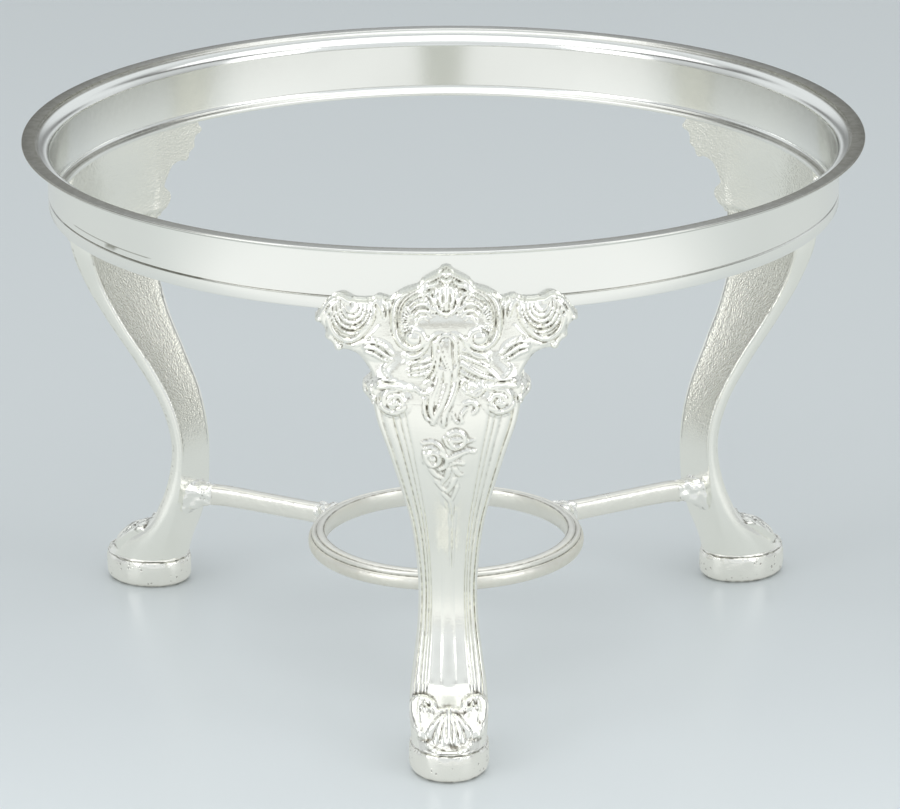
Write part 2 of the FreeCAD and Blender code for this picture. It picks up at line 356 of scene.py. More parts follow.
def rounded(path: Iterable[Point], pieces: int = 6) -> Array:
    """Smooth line through a few points.

    Args:
        path: the points.
        pieces: how many stretches each step between them gets.

    Returns:
        The line's corners.
    """
    points = np.array(list(path), float)
    if len(points) < 3:
        return points
    place = np.arange(len(points), dtype=float)
    fine = np.linspace(0, len(points) - 1, pieces * (len(points) - 1) + 1)
    return np.column_stack([track(fine, place, points[:, 0]), track(fine, place, points[:, 1])])


def curve_of(centre: Point, radii: Point, start: float, end: float, count: int) -> list[Point]:
    """Corners along part of an oval, from one angle in degrees to another."""
    turns = [math.radians(start + (end - start) * index / count) for index in range(count + 1)]
    return [(centre[0] + radii[0] * math.cos(turn), centre[1] + radii[1] * math.sin(turn)) for turn in turns]


# Meshes


def close_up(bm: bmesh.types.BMesh, gap: float = 1e-4) -> None:
    """Merges doubles and turns every face outwards."""
    bmesh.ops.remove_doubles(bm, verts=bm.verts, dist=gap)
    bmesh.ops.recalc_face_normals(bm, faces=bm.faces)


def corners(bm: bmesh.types.BMesh) -> Array:
    """Positions of all vertices."""
    return np.array([vert.co for vert in bm.verts])


def move_to(bm: bmesh.types.BMesh, points: Array) -> None:
    """Moves all vertices to new positions."""
    for vert, point in zip(bm.verts, points.tolist()):
        vert.co = point


def paint(bm: bmesh.types.BMesh, name: str, values: Iterable[float]) -> None:
    """Stores a number on each vertex, such as how deep in a recess it is.

    Args:
        bm: the mesh.
        name: the attribute that the finish reads: recess, line or hammer.
        values: the numbers, in the vertices' order.
    """
    layer = bm.verts.layers.float.new(name)
    for vert, value in zip(bm.verts, values):
        vert[layer] = value


def paint_by(bm: bmesh.types.BMesh, name: str, rule: Callable[[Vector], float]) -> None:
    """Stores a number on each vertex by a rule on its position."""
    paint(bm, name, [rule(vert.co) for vert in bm.verts])


def lathe(profile: Iterable[Point], steps: int) -> bmesh.types.BMesh:
    """Closed profile turned about the stand's axis.

    Args:
        profile: radius and height of the profile's corners, in order.
        steps: number of steps in the full turn.

    Returns:
        The turned mesh.
    """
    bm = bmesh.new()
    verts = [bm.verts.new((radius, 0, height)) for radius, height in profile]
    edges = [bm.edges.new((verts[index], verts[index - 1])) for index in range(len(verts))]
    bmesh.ops.spin(bm, geom=verts + edges, cent=(0, 0, 0), axis=(0, 0, 1), dvec=(0, 0, 0), angle=math.tau,
                   steps=steps, use_merge=True, use_duplicate=False)
    close_up(bm)
    return bm


def finish_piece(bm: bmesh.types.BMesh, name: str, finish: SilverFinish, node: str,
                 turn: Matrix | None = None, crease: float = 40.0) -> None:
    """Turns a mesh in millimetres into a finished piece that stands for a node.

    Args:
        bm: the mesh, which is freed.
        name: the piece's name.
        finish: its finish.
        node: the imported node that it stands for.
        turn: rotation about the stand's axis.
        crease: angle in degrees past which an edge stays sharp.
    """
    bmesh.ops.transform(bm, matrix=(turn or Matrix.Identity(4)) @ Matrix.Scale(MM, 4), verts=bm.verts)
    limit = math.radians(crease)
    for face in bm.faces:
        face.smooth = True
    for edge in bm.edges:
        edge.smooth = edge.calc_face_angle(math.pi) < limit
    mesh = bpy.data.meshes.new(name)
    bm.to_mesh(mesh)
    bm.free()
    piece = bpy.data.objects.new(name, mesh)
    bpy.context.scene.collection.objects.link(piece)
    FINISHES.dress(piece, finish)
    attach(piece, "root")
    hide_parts(node)
    log.info("%s: %d faces", name, len(mesh.polygons))


# Ornament


@dataclass(frozen=True)
class Ridge:
    """A raised round-backed line, such as a scroll, a leaf's rib or a moulding."""

    path: tuple[Point, ...]
    width: Point
    height: float
    spread: float = 1.2

    def raise_over(self, across: Array, up: Array, relief: Array) -> None:
        """Lifts the relief to this form.

        Args:
            across: places across the leg.
            up: places up or along it.
            relief: heights there, which are changed in place.
        """
        line = rounded(self.path)
        reach = self.spread * max(self.width)
        low, high = line.min(0) - reach, line.max(0) + reach
        near = np.nonzero((across > low[0]) & (across < high[0]) & (up > low[1]) & (up < high[1]))[0]
        if not len(near):
            return
        point = np.column_stack([across[near], up[near]])[:, None, :]
        start, run = line[:-1], np.diff(line, axis=0)
        share = np.clip(((point - start) * run).sum(2) / (run * run).sum(1), 0, 1)
        gap = np.linalg.norm(point - start - share[..., None] * run, axis=2)
        place = (np.arange(len(run)) + share) / len(run)
        width = self.width[0] + (self.width[1] - self.width[0]) * place
        dome = np.clip(1 - (gap / (width * self.spread)) ** 2, 0, 1) ** 0.75
        fade = 0.55 + 0.45 * np.clip(np.sin(math.pi * (0.12 + 0.76 * place)), 0, 1)
        relief[near] = np.maximum(relief[near], (self.height * dome * fade).max(1))


@dataclass(frozen=True)
class Dome:
    """A raised oval boss."""

    centre: Point
    half: Point
    height: float
    fullness: float = 0.5

    def raise_over(self, across: Array, up: Array, relief: Array) -> None:
        """Lifts the relief to this form."""
        square = ((across - self.centre[0]) / self.half[0]) ** 2 + ((up - self.centre[1]) / self.half[1]) ** 2
        np.maximum(relief, self.height * np.clip(1 - square, 0, 1) ** self.fullness, out=relief)


@dataclass(frozen=True)
class Gadroons:
    """A fan of short reeds round a centre, between two radii and two angles in degrees."""

    centre: Point
    radii: Point
    turns: Point
    count: int
    height: float

    def raise_over(self, across: Array, up: Array, relief: Array) -> None:
        """Lifts the relief to this form.

        Args:
            across: places across the leg.
            up: places up or along it.
            relief: heights there, which are changed in place.
        """
        east, north = across - self.centre[0], up - self.centre[1]
        share = (np.degrees(np.arctan2(north, east)) % 360 - self.turns[0]) / (self.turns[1] - self.turns[0])
        run = (np.hypot(east, north) - self.radii[0]) / (self.radii[1] - self.radii[0])
        inside = (share > 0) & (share < 1) & (run > 0) & (run < 1)
        reeds = np.abs(np.sin(math.pi * self.count * share)) ** 0.6
        form = self.height * reeds * np.sin(math.pi * run) ** 0.4
        np.maximum(relief, np.where(inside, form, 0), out=relief)


def ridges(*rows: tuple) -> tuple[Ridge, ...]:
    """Ridges from rows that hold the height, the half width at each end and the path."""
    return tuple(Ridge(tuple(path), (start, end), height) for height, start, end, *path in rows)


def volute(centre: Point, radii: Point, turns: float, start: float, width: Point, height: float) -> Ridge:
    """Ridge that winds into a round eye.

    Args:
        centre: the eye.
        radii: distance from the eye at each end.
        turns: how many times it goes round.
        start: angle in degrees at which it starts.
        width: half width at each end.
        height: how far it stands out.

    Returns:
        The ridge.
    """
    shares = [index / (int(10 * turns) + 1) for index in range(int(10 * turns) + 2)]
    spots = [(radii[0] + (radii[1] - radii[0]) * share, math.radians(start) + math.tau * turns * share)
             for share in shares]
    return Ridge(tuple((centre[0] + radius * math.cos(turn), centre[1] + radius * math.sin(turn))
                       for radius, turn in spots), width, height)


@dataclass(frozen=True)
class Layer:
    """Forms on the leg's middle, and forms that both its sides have."""

    middle: tuple
    sides: tuple

    def height(self, across: Array, up: Array) -> Array:
        """Height of the highest form at each place.

        Args:
            across: places across the leg.
            up: places up or along it.

        Returns:
            Heights in millimetres.
        """
        relief = np.zeros(len(across))
        for side, forms in ((1, self.middle + self.sides), (-1, self.sides)):
            for form in forms:
                form.raise_over(across * side, up, relief)
        return relief


@dataclass(frozen=True)
class Ornament:
    """Fine forms that stand on broad swellings."""

    swells: Layer
    forms: Layer
    fine_share: float = 0.62

    def height(self, across: Array, up: Array) -> Array:
        """Height above the plain surface at each place, in millimetres."""
        return self.swells.height(across, up) + self.forms.height(across, up) * self.fine_share


# The head's forms, in millimetres across the leg and up from the floor
HEAD = Ornament(
    swells=Layer(middle=(
        Dome((0, 167), (18, 12), 1.9, 0.7),
        Dome((0, 177), (7, 6.5), 1.2, 0.8),
        Dome((0, 154.5), (5, 10), 1.9, 0.8),
        Dome((-1.8, 141), (5.5, 10.5), 1, 0.8),
        Dome((9.3, 143.2), (3.2, 3), 0.8, 0.8),
        Dome((2.8, 125), (4.6, 4.2), 0.8, 0.8),
        Dome((-4.6, 117.8), (4.6, 4.4), 0.8, 0.8),
        Dome((0.5, 116), (9, 9), 0.5, 0.8),
        Dome((0.6, 104), (3.6, 9), 0.6, 0.8),
    ), sides=(
        Dome((-33, 166.5), (9.5, 8.5), 1.7, 0.8),
        Dome((-17.5, 138.7), (6, 6), 1.3, 0.7),
        Dome((-23.5, 155.5), (6, 4.2), 0.9, 0.8),
        Dome((-19, 144.3), (6, 1.8), 0.8, 0.8),
        Dome((-9.5, 151), (6, 4.5), 0.7, 0.8),
    )),
    forms=Layer(middle=ridges(
        # crest
        (3, 1.15, 0.9, (0.1, 178), (0, 174.6), (-0.1, 171.3)),
        (2.6, 0.7, 0.7, (-3.6, 171.1), (-1.9, 169.9), (-0.1, 169.4), (1.7, 169.9), (3.4, 171.1)),
        (1.9, 0.8, 0.8, (-2.3, 182.3), (-1.6, 184), (0, 184.7), (1.7, 184), (2.3, 182.3)),
        # drop
        (2.2, 0.7, 0.7, (-3.9, 155.1), (-3.6, 159), (-2.2, 161.6), (-0.2, 162.5), (1.7, 161.6), (3, 159),
         (3.1, 155.2)),
        (3.2, 1.6, 0.6, (-0.3, 160), (0, 156.6), (0.8, 153.1), (1.5, 150.3)),
        (2.2, 0.8, 0.4, (-2, 159), (-1.5, 155.5), (-0.4, 152.4), (0.7, 150.3)),
        (2.1, 0.8, 0.5, (-4.1, 159.7), (-4.2, 154.8), (-5.3, 150.6), (-7.2, 147.4)),
        (1.9, 0.7, 0.5, (-2.7, 156.6), (-3.1, 152.7), (-4.1, 149.2), (-5.4, 146.7)),
        (1.8, 0.8, 0.5, (3, 157.2), (3.3, 153.4), (4, 150.6)),
        # swirl
        (1.8, 1, 0.8, (-2.3, 150.3), (-3.4, 145.3), (-5, 140.8), (-5.5, 136.5), (-4.6, 133)),
        (2, 1.2, 0.7, (0.2, 149.6), (-0.1, 144.3), (-1.7, 138.7), (-3.8, 134.1), (-4.8, 131.3)),
        (1.8, 1, 0.7, (2.7, 150.6), (3.1, 145.3), (1.5, 139.7), (-0.6, 135.2), (-1.3, 130.6)),
        (1.2, 0.6, 0.5, (-7.5, 140), (-7.7, 136.5), (-6.6, 133), (-4, 132.2)),
        (1.4, 0.7, 0.6, (5.8, 138.1), (8.5, 138.6), (10.1, 136.6), (8.7, 134.7)),
        (1.1, 0.6, 0.5, (6.4, 136.5), (4.7, 134.1), (5, 131.6)),
        (1, 0.5, 0.4, (1.7, 135.2), (2.7, 132.3), (4.3, 131.3)),
        # feather
        (1.6, 0.65, 0.5, (-3.9, 154.4), (-6.9, 153.2), (-10.2, 152.8), (-12.7, 151.8)),
        (1.6, 0.65, 0.5, (-4.1, 152.7), (-7.3, 151.1), (-10.6, 150.5), (-13.1, 149.6)),
        (1.4, 0.6, 0.45, (-4.6, 150.6), (-7.3, 148.8), (-10.3, 148), (-12.6, 147.8)),
        (1.8, 0.75, 0.6, (5.8, 156.5), (9.4, 155.6), (12.4, 154.6), (14.1, 152.7)),
        (1.7, 0.7, 0.5, (5.4, 154.4), (9.1, 153), (11.7, 151.7), (13.7, 150.5)),
        (2, 1, 0.7, (5.1, 152), (8.7, 149.5), (12.6, 147.4), (16.4, 146.2)),
        (1.4, 0.6, 0.5, (4.7, 149.2), (8, 147.2), (11.9, 145.7)),
        (1.6, 0.7, 0.5, (13.7, 149.9), (15.6, 148), (17.3, 146.1)),
        # scroll
        (1.8, 0.75, 0.6, (11.6, 145.2), (11.9, 142.7), (9.5, 141), (7.4, 142.5), (7.7, 144.4),
         (9.4, 144.2)),
        # garland
        (1.6, 0.8, 0.7, (0.6, 127.3), (3, 128.2), (5.3, 127.1), (5.9, 124.6), (4.2, 122.7), (1.9, 123.1),
         (0.9, 125)),
        (1.7, 0.9, 0.8, (1.9, 125.4), (4.3, 125.4)),
        (1.3, 0.55, 0.5, (-1.1, 126.1), (-0.1, 123.5), (2.2, 121.7), (4.9, 122.3)),
        (1.5, 0.8, 0.6, (-8.1, 123.8), (-5.1, 124.4), (-2.8, 123.1), (-1.2, 120.6)),
        (1.2, 0.6, 0.5, (-7.9, 121.5), (-5.5, 122.3), (-3.5, 121.1)),
        (1.1, 0.7, 0.5, (6.2, 124.2), (8.9, 124.8)),
        (1.8, 1.2, 0.7, (0.8, 117.8), (3.5, 119.6), (6.2, 120.8), (9.2, 120.4)),
        (1.7, 0.85, 0.7, (-7.5, 119.8), (-6.9, 117), (-4.9, 115.3), (-2.9, 116.6), (-2.9, 119.4),
         (-4.9, 120.6), (-6.5, 119.4)),
        (1.9, 1, 0.9, (-5.2, 118.2), (-4.6, 118)),
        (1.7, 0.9, 0.7, (-2.2, 120.2), (-0.2, 118.2), (-0.6, 115.3), (-2.6, 113.7)),
        (1.4, 0.9, 0.7, (0.7, 115.8), (3.1, 116.6), (5.4, 115.8)),
        (1.5, 0.9, 0.7, (-5.6, 113.7), (-3.7, 111.1), (-1.4, 109.9)),
        (1.5, 0.9, 0.7, (0.4, 113.7), (-0.3, 110.7), (-2.1, 107.7)),
        (1.2, 0.9, 0.7, (2.4, 113.7), (3.7, 111.5), (5, 111.1)),
        (1.3, 0.8, 0.6, (-4, 108.6), (-1.8, 105.5), (0.2, 104.6)),
        (1.4, 0.9, 0.7, (2.3, 109.4), (1.3, 106.8), (-0.1, 104.1)),
        (1.3, 0.8, 0.7, (-1.5, 103.2), (0.2, 101), (1.2, 98.7)),
        (1.2, 0.7, 0.5, (3.3, 105.9), (2.2, 102.8), (1.2, 100)),
        (1.2, 0.9, 0.6, (1.2, 98.7), (1.3, 95.9), (1.4, 93.1)),
        (0.7, 0.4, 0.3, (0.7, 93.6), (0.8, 85.8), (0.8, 77.6), (0.9, 69.5)),
        (0.7, 0.4, 0.3, (2.6, 93.6), (2.3, 85.8), (2, 77.6), (1.7, 69.5)),
    ) + (
        Dome((0, 165.5), (10.2, 4.3), 1, 0.25),
        Dome((0, 182.4), (1.3, 1.5), 2.2),
    ), sides=ridges(
        # cartouche
        (2.7, 0.9, 1, (-4.4, 178.6), (-9.4, 177.9), (-13.8, 175.7), (-16.7, 172.1), (-17.7, 167.6),
         (-17.3, 162.8), (-15.4, 158.9), (-12.1, 157.2), (-9.1, 158.2), (-7.7, 160.7), (-8.7, 163.1),
         (-11, 163.9)),
        (2.1, 0.55, 0.45, (-5.1, 176.3), (-9.8, 175), (-13.2, 172.7), (-14.9, 169.2), (-15, 165.8)),
        (2, 0.7, 0.5, (-7.8, 158.6), (-5.8, 160.7), (-3.7, 162.6), (-1.7, 163.2)),
        (1.6, 0.9, 0.6, (-13.8, 154.8), (-11.5, 154.3), (-8.8, 155.4), (-6.8, 157.9), (-5.8, 160.7)),
        (1.9, 0.8, 0.55, (-4.2, 170.6), (-6.6, 172.5), (-9.6, 172.4), (-12, 170.4)),
        (1.6, 0.7, 0.5, (-5, 168.9), (-7.2, 170.4), (-9.4, 170.1), (-10.9, 168.5)),
        (1.3, 0.6, 0.45, (-5.6, 167.3), (-7.2, 168.4), (-8.8, 168.1), (-9.8, 167)),
        # crest
        (2.7, 1, 0.7, (-1.6, 177.6), (-2.2, 174.6), (-1.4, 171.3)),
        (2, 0.7, 0.6, (-3.3, 177), (-3.8, 173.9), (-2.9, 170.9)),
        (2.3, 1.1, 0.8, (-9.2, 177.5), (-7, 179.8), (-4.3, 181.3), (-1.7, 182.5)),
        (1.9, 0.7, 0.5, (-8.1, 176.7), (-5.4, 178.3), (-2.7, 179.6)),
        (1.5, 0.6, 0.4, (-8.8, 175.9), (-6.5, 173.9), (-5.4, 171.2), (-5.3, 168.2)),
        (1.5, 0.6, 0.4, (-7.3, 176.6), (-4.8, 174.3), (-3.9, 171.3), (-3.8, 168.9)),
        (2.6, 0.9, 0.8, (0.1, 179.8), (-1.4, 180.6)),
        # shell
        (1, 0.62, 0.55, (-33.3, 171.7), (-33.4, 170.4), (-33, 169.3), (-32.1, 168.6), (-31.1, 168.7),
         (-30.2, 169.3), (-29.6, 170.4), (-29.5, 171.7)),
        (1.2, 0.62, 0.55, (-34.6, 171.9), (-34.7, 169.8), (-33.9, 167.9), (-32.5, 166.9), (-30.8, 167),
         (-29.3, 168.1), (-28.3, 170), (-28.2, 172.1)),
        (1.45, 0.62, 0.55, (-36, 171.9), (-35.9, 168.9), (-34.8, 166.4), (-32.9, 165), (-30.6, 165.1),
         (-28.5, 166.7), (-27.1, 169.4), (-26.8, 172.4)),
        (1.7, 0.62, 0.55, (-37.4, 171.6), (-37.1, 167.8), (-35.6, 164.7), (-33.1, 163.1), (-30.3, 163.3),
         (-27.7, 165.4), (-25.9, 168.7), (-25.5, 172.5)),
        (2, 0.62, 0.55, (-38.6, 171.1), (-38.1, 166.6), (-36.2, 163), (-33.3, 161.2), (-30, 161.5),
         (-27, 164), (-24.9, 168), (-24.3, 172.5)),
        (2.4, 1.15, 1, (-33.1, 172.3), (-35.4, 173.6), (-38.1, 172.9), (-40.4, 170.6), (-42, 167.7),
         (-43.2, 164.9)),
        (1.7, 0.6, 0.5, (-36.1, 171.7), (-38.1, 170.5), (-39.6, 167.9), (-40.5, 165)),
        (1.7, 0.9, 1, (-40.8, 167.1), (-41.2, 163.9), (-40.8, 160.8), (-39.7, 158.2)),
        (1.8, 0.8, 1, (-39.2, 163.7), (-39, 160.2), (-38, 157.5), (-36.9, 155.3)),
        (2.4, 1.1, 0.8, (-39.5, 165.8), (-38.9, 162.7), (-37.3, 160), (-34.7, 158.3), (-31.7, 158.4),
         (-29, 160.3), (-27, 162.5)),
        (1.8, 0.7, 0.6, (-25, 172.1), (-24.2, 168.8), (-25.1, 165.2), (-27.3, 162.1)),
        (1.5, 0.8, 0.6, (-24.3, 171.9), (-22.8, 173.8), (-20.4, 174), (-18.5, 172.9)),
        (1.3, 0.8, 0.5, (-22.8, 172), (-21.5, 169.5), (-20.9, 166.8)),
        (1.2, 0.6, 0.4, (-20.5, 172.3), (-19.7, 170), (-19.6, 167.7)),
        (0.9, 0.45, 0.4, (-35.4, 157), (-32.1, 156.3), (-28.7, 158.1), (-25.7, 160.6), (-22.6, 163.8)),
        # leaf
        (1.7, 0.7, 0.6, (-27.1, 158), (-24.1, 158.6), (-20.8, 157.3), (-18.3, 154.9)),
        (2, 0.85, 0.6, (-27.4, 156.5), (-24.4, 156.6), (-21.5, 155.1), (-18.7, 153.2)),
        (1.7, 0.75, 0.5, (-26.9, 155), (-24.3, 154.3), (-21.8, 153), (-19.4, 152.3)),
        (1.1, 0.5, 0.4, (-30.1, 156.5), (-27.4, 158.3), (-24.7, 159.5)),
        (1.1, 0.5, 0.45, (-20.2, 151.6), (-21.2, 149.7), (-20.3, 147.8), (-18.8, 146.9)),
        # edge
        (0.9, 0.45, 0.4, (-34.1, 154.3), (-30.8, 153.8), (-28, 151.5), (-26.2, 148.3), (-25.1, 144.5)),
        # knob
        (2.2, 0.85, 0.9, (-25.6, 145.7), (-27.5, 144.4), (-28.4, 143.4), (-27.9, 140.9), (-26.3, 139.5)),
        (2, 0.7, 0.7, (-25.7, 144.1), (-26.5, 143.1), (-25.6, 141.3)),
        # bar
        (2.3, 1, 0.9, (-23, 143.7), (-18.7, 144.3), (-14.6, 143.5)),
        (1, 0.4, 0.4, (-24.3, 145.4), (-21, 146.1), (-17, 145.9)),
        (2.2, 1.1, 1.1, (-12.6, 143.6), (-12.1, 143.4)),
        (1.6, 0.7, 0.5, (-10.7, 143.3), (-8.4, 141.8), (-6.1, 142)),
        (1.2, 0.5, 0.45, (-6.1, 142.2), (-4.7, 144.3), (-5.9, 146.4), (-7.5, 145.1)),
    ) + (
        Dome((-11.3, 161), (2.7, 2.7), 3.4),
        Dome((-43.2, 164.9), (1.5, 1.5), 2),
        Dome((-39.3, 158.3), (1.2, 1.2), 1.9),
        Dome((-36.3, 155.3), (1.4, 1.4), 2),
        Dome((-24.9, 139.2), (1.3, 1.3), 2.2),
        Dome((-17.5, 138.7), (1.5, 1.5), 2.4),
        Gadroons((-9, 166.2), (3.6, 7.2), (125, 215), 8, 1.5),
        volute((-17.5, 138.7), (4.6, 1.5), 1.5, 80, (1.05, 0.8), 2),
    )),
)

# The instep's forms, in millimetres across the leg and along it from the toe
TOE = Ornament(
    swells=Layer(middle=(
        Dome((0, 11), (6.5, 8), 1, 0.8),
    ), sides=(
        Dome((-9.4, 13.5), (4.6, 9), 1.5, 0.7),
    )),
    forms=Layer(middle=ridges(
        (1.8, 0.9, 0.9, (0, 17.8), (0, 14), (0, 9), (0, 5)),
        (1.4, 0.8, 0.8, (-5.2, 17.8), (-2.6, 17.2), (0, 18.2), (2.6, 17.2), (5.2, 17.8)),
        (1.2, 0.8, 0.8, (-7.4, 2.4), (-4.2, 0.9), (0, 0.4), (4.2, 0.9), (7.4, 2.4)),
    ), sides=ridges(
        (2.2, 0.7, 2.4, (-6.9, 16.9), (-5.3, 18.4), (-6, 21), (-8.8, 22.2), (-11.4, 20.4), (-12.2, 15.5),
         (-12, 10.5), (-10.7, 6.8)),
        (1.4, 0.6, 0.5, (-9.3, 17.6), (-8.2, 16.6), (-7.2, 17.8), (-8.1, 19.4)),
        (1.5, 0.7, 0.9, (-1.2, 15.5), (-3.4, 13.4), (-5.6, 9.5), (-6.8, 6.6)),
        (1.6, 0.7, 0.9, (-0.8, 15.2), (-2.4, 12.5), (-3.8, 8.5), (-4.6, 5.4)),
        (1.6, 0.6, 0.9, (-0.4, 15.2), (-1.3, 11.5), (-1.8, 7.5), (-2.2, 4.8)),
    ) + (
        Dome((-9.6, 5.8), (1.2, 1), 1.9),
    )),
)


# The leg


@dataclass
class LegSkin:
    """Plain surface of a cast leg, before its ornament.

    Each row of shares is a level on the shaft, from the foot up: the level, how far the back is in from the
    ring, the side's depth, the crown, the half width, the hollow behind, the flutes and how oval it is.
    """

    bottom: float = 10.9
    rise: float = 156.6
    ring: float = 141.0
    sweep: float = 33.4
    width: float = 50.0
    side: float = 8.4
    crown: float = 3.2
    flute: float = 1.0
    reed_edges: tuple[float, ...] = (0.455, 0.585, 0.665, 0.76, 0.92, 1.0)
    reed_depths: tuple[float, ...] = (0.0, 0.75, 0.8, 0.95, 1.0, 0.9)
    rib_height: float = 0.7
    rib_share: float = 0.24
    hollow: float = 2.4
    edge: float = 2.2
    rim_share: float = 0.35
    sole_back: float = 113.5
    plate: float = 143.2
    head_bottom: float = 146.0
    wing_in: Point = (24.6, 9.0)
    wing_out: Point = (27.5, 35.0)
    limit: float = 147.5
    ease: float = 2.4
    shares: tuple = (
        (0.000, 0.000, 3.38, 1.00, 0.520, 0.00, 0.00, 1.00),
        (0.050, 0.860, 2.35, 0.98, 0.540, 0.00, 0.55, 0.75),
        (0.095, 0.890, 1.20, 1.00, 0.522, 0.00, 0.90, 0.45),
        (0.150, 0.955, 0.86, 0.96, 0.472, 0.00, 1.00, 0.22),
        (0.225, 0.996, 0.60, 0.89, 0.412, 0.00, 1.00, 0.07),
        (0.300, 0.995, 0.48, 0.85, 0.391, 0.08, 1.00, 0.00),
        (0.400, 0.884, 0.53, 0.88, 0.426, 0.45, 0.95, 0.00),
        (0.495, 0.648, 0.62, 0.95, 0.500, 0.80, 1.00, 0.00),
        (0.590, 0.373, 0.66, 1.00, 0.625, 0.95, 1.00, 0.00),
        (0.690, 0.172, 0.77, 1.00, 0.785, 1.00, 1.00, 0.00),
        (0.780, 0.124, 0.96, 0.96, 0.950, 1.00, 1.00, 0.00),
        (0.860, 0.123, 0.97, 0.76, 0.985, 1.00, 0.55, 0.00),
        (1.000, 0.123, 0.70, 0.40, 0.900, 1.00, 0.10, 0.00),
    )

    def __post_init__(self) -> None:
        """Works the shares out as lengths."""
        table = np.array(self.shares)
        self.levels = self.bottom + self.rise * table[:, 0]
        backs = self.ring - self.sweep * table[:, 1]
        backs[0] = self.sole_back
        self.columns = {
            "back": backs, "side": self.side * table[:, 2], "crown": self.crown * table[:, 3],
            "half": self.width / 2 * table[:, 4], "hollow": self.hollow * table[:, 5],
            "flute": self.flute * table[:, 6], "oval": table[:, 7],
        }

    def at(self, name: str, level: Array) -> Array:
        """One of the shaft's sizes at given levels."""
        return track(level, self.levels, self.columns[name])

    def front(self, across: Array, level: Array, reeded: object = 1.0) -> Array:
        """How far out the shaft's front is.

        Args:
            across: places across the leg.
            level: heights above the floor.
            reeded: share of their full depth that the reeds have.

        Returns:
            Distance from the stand's axis.
        """
        share = np.clip(np.abs(across) / self.at("half", level), 0, 1)
        reach = self.at("back", level) + self.at("side", level)
        reach = reach + self.at("crown", level) * (1 - share * share)
        place = np.interp(share, self.reed_edges, range(len(self.reed_edges)))
        width = np.interp(share, self.reed_edges, self.reed_depths)
        groove = 1 - np.clip(np.sin(math.pi * (place % 1.0)), 0, 1) ** 0.6
        rib = self.rib_height * np.clip(1 - (share / self.rib_share) ** 2, 0, 1)
        rib = rib * step(level, 20.0, 30.0) * (1 - step(level, 60.0, 82.0))
        return reach + rib - self.at("flute", level) * width * groove * (place > 0) * reeded

    def rear(self, across: Array, level: Array, rim: object = None) -> Array:
        """How far out the shaft's hollow back is.

        Args:
            across: places across the leg.
            level: heights above the floor.
            rim: share of the hollow's depth that its steep rim has.

        Returns:
            Distance from the stand's axis.
        """
        rim = self.rim_share if rim is None else rim
        place = np.clip(np.abs(across) / (self.at("half", level) - self.edge), 0, 1)
        scoop = rim * step(1 - place, 0.0, 0.09) + (1 - rim) * (1 - place * place)
        return self.at("back", level) + self.at("hollow", level) * scoop

    def head(self, across: Array, level: Array) -> Array:
        """How far out the head's front is, from the plate at its wings to the full middle.

        Args:
            across: places across the leg.
            level: heights above the floor.

        Returns:
            Distance from the stand's axis.
        """
        plate = np.sqrt(self.plate ** 2 - across ** 2)
        body = self.front(across, np.minimum(level, self.head_bottom), 1 - step(level, 140.5, 144.0))
        lift = np.interp(level, (self.head_bottom, 160.0, 174.0, 182.0), (1.0, 0.85, 0.4, 0.0))
        near = np.interp(level, (143.0, 156.0), self.wing_in)
        far = np.interp(level, (143.0, 156.0), self.wing_out)
        return plate + (body - plate) * lift * (1 - step(np.abs(across), near, far))

    def held(self, reach: Array) -> Array:
        """Reach outwards, eased back where it would come near the collar's rim."""
        eased = self.limit + self.ease * np.tanh((reach - self.limit) / self.ease)
        return np.where(reach > self.limit, eased, reach)


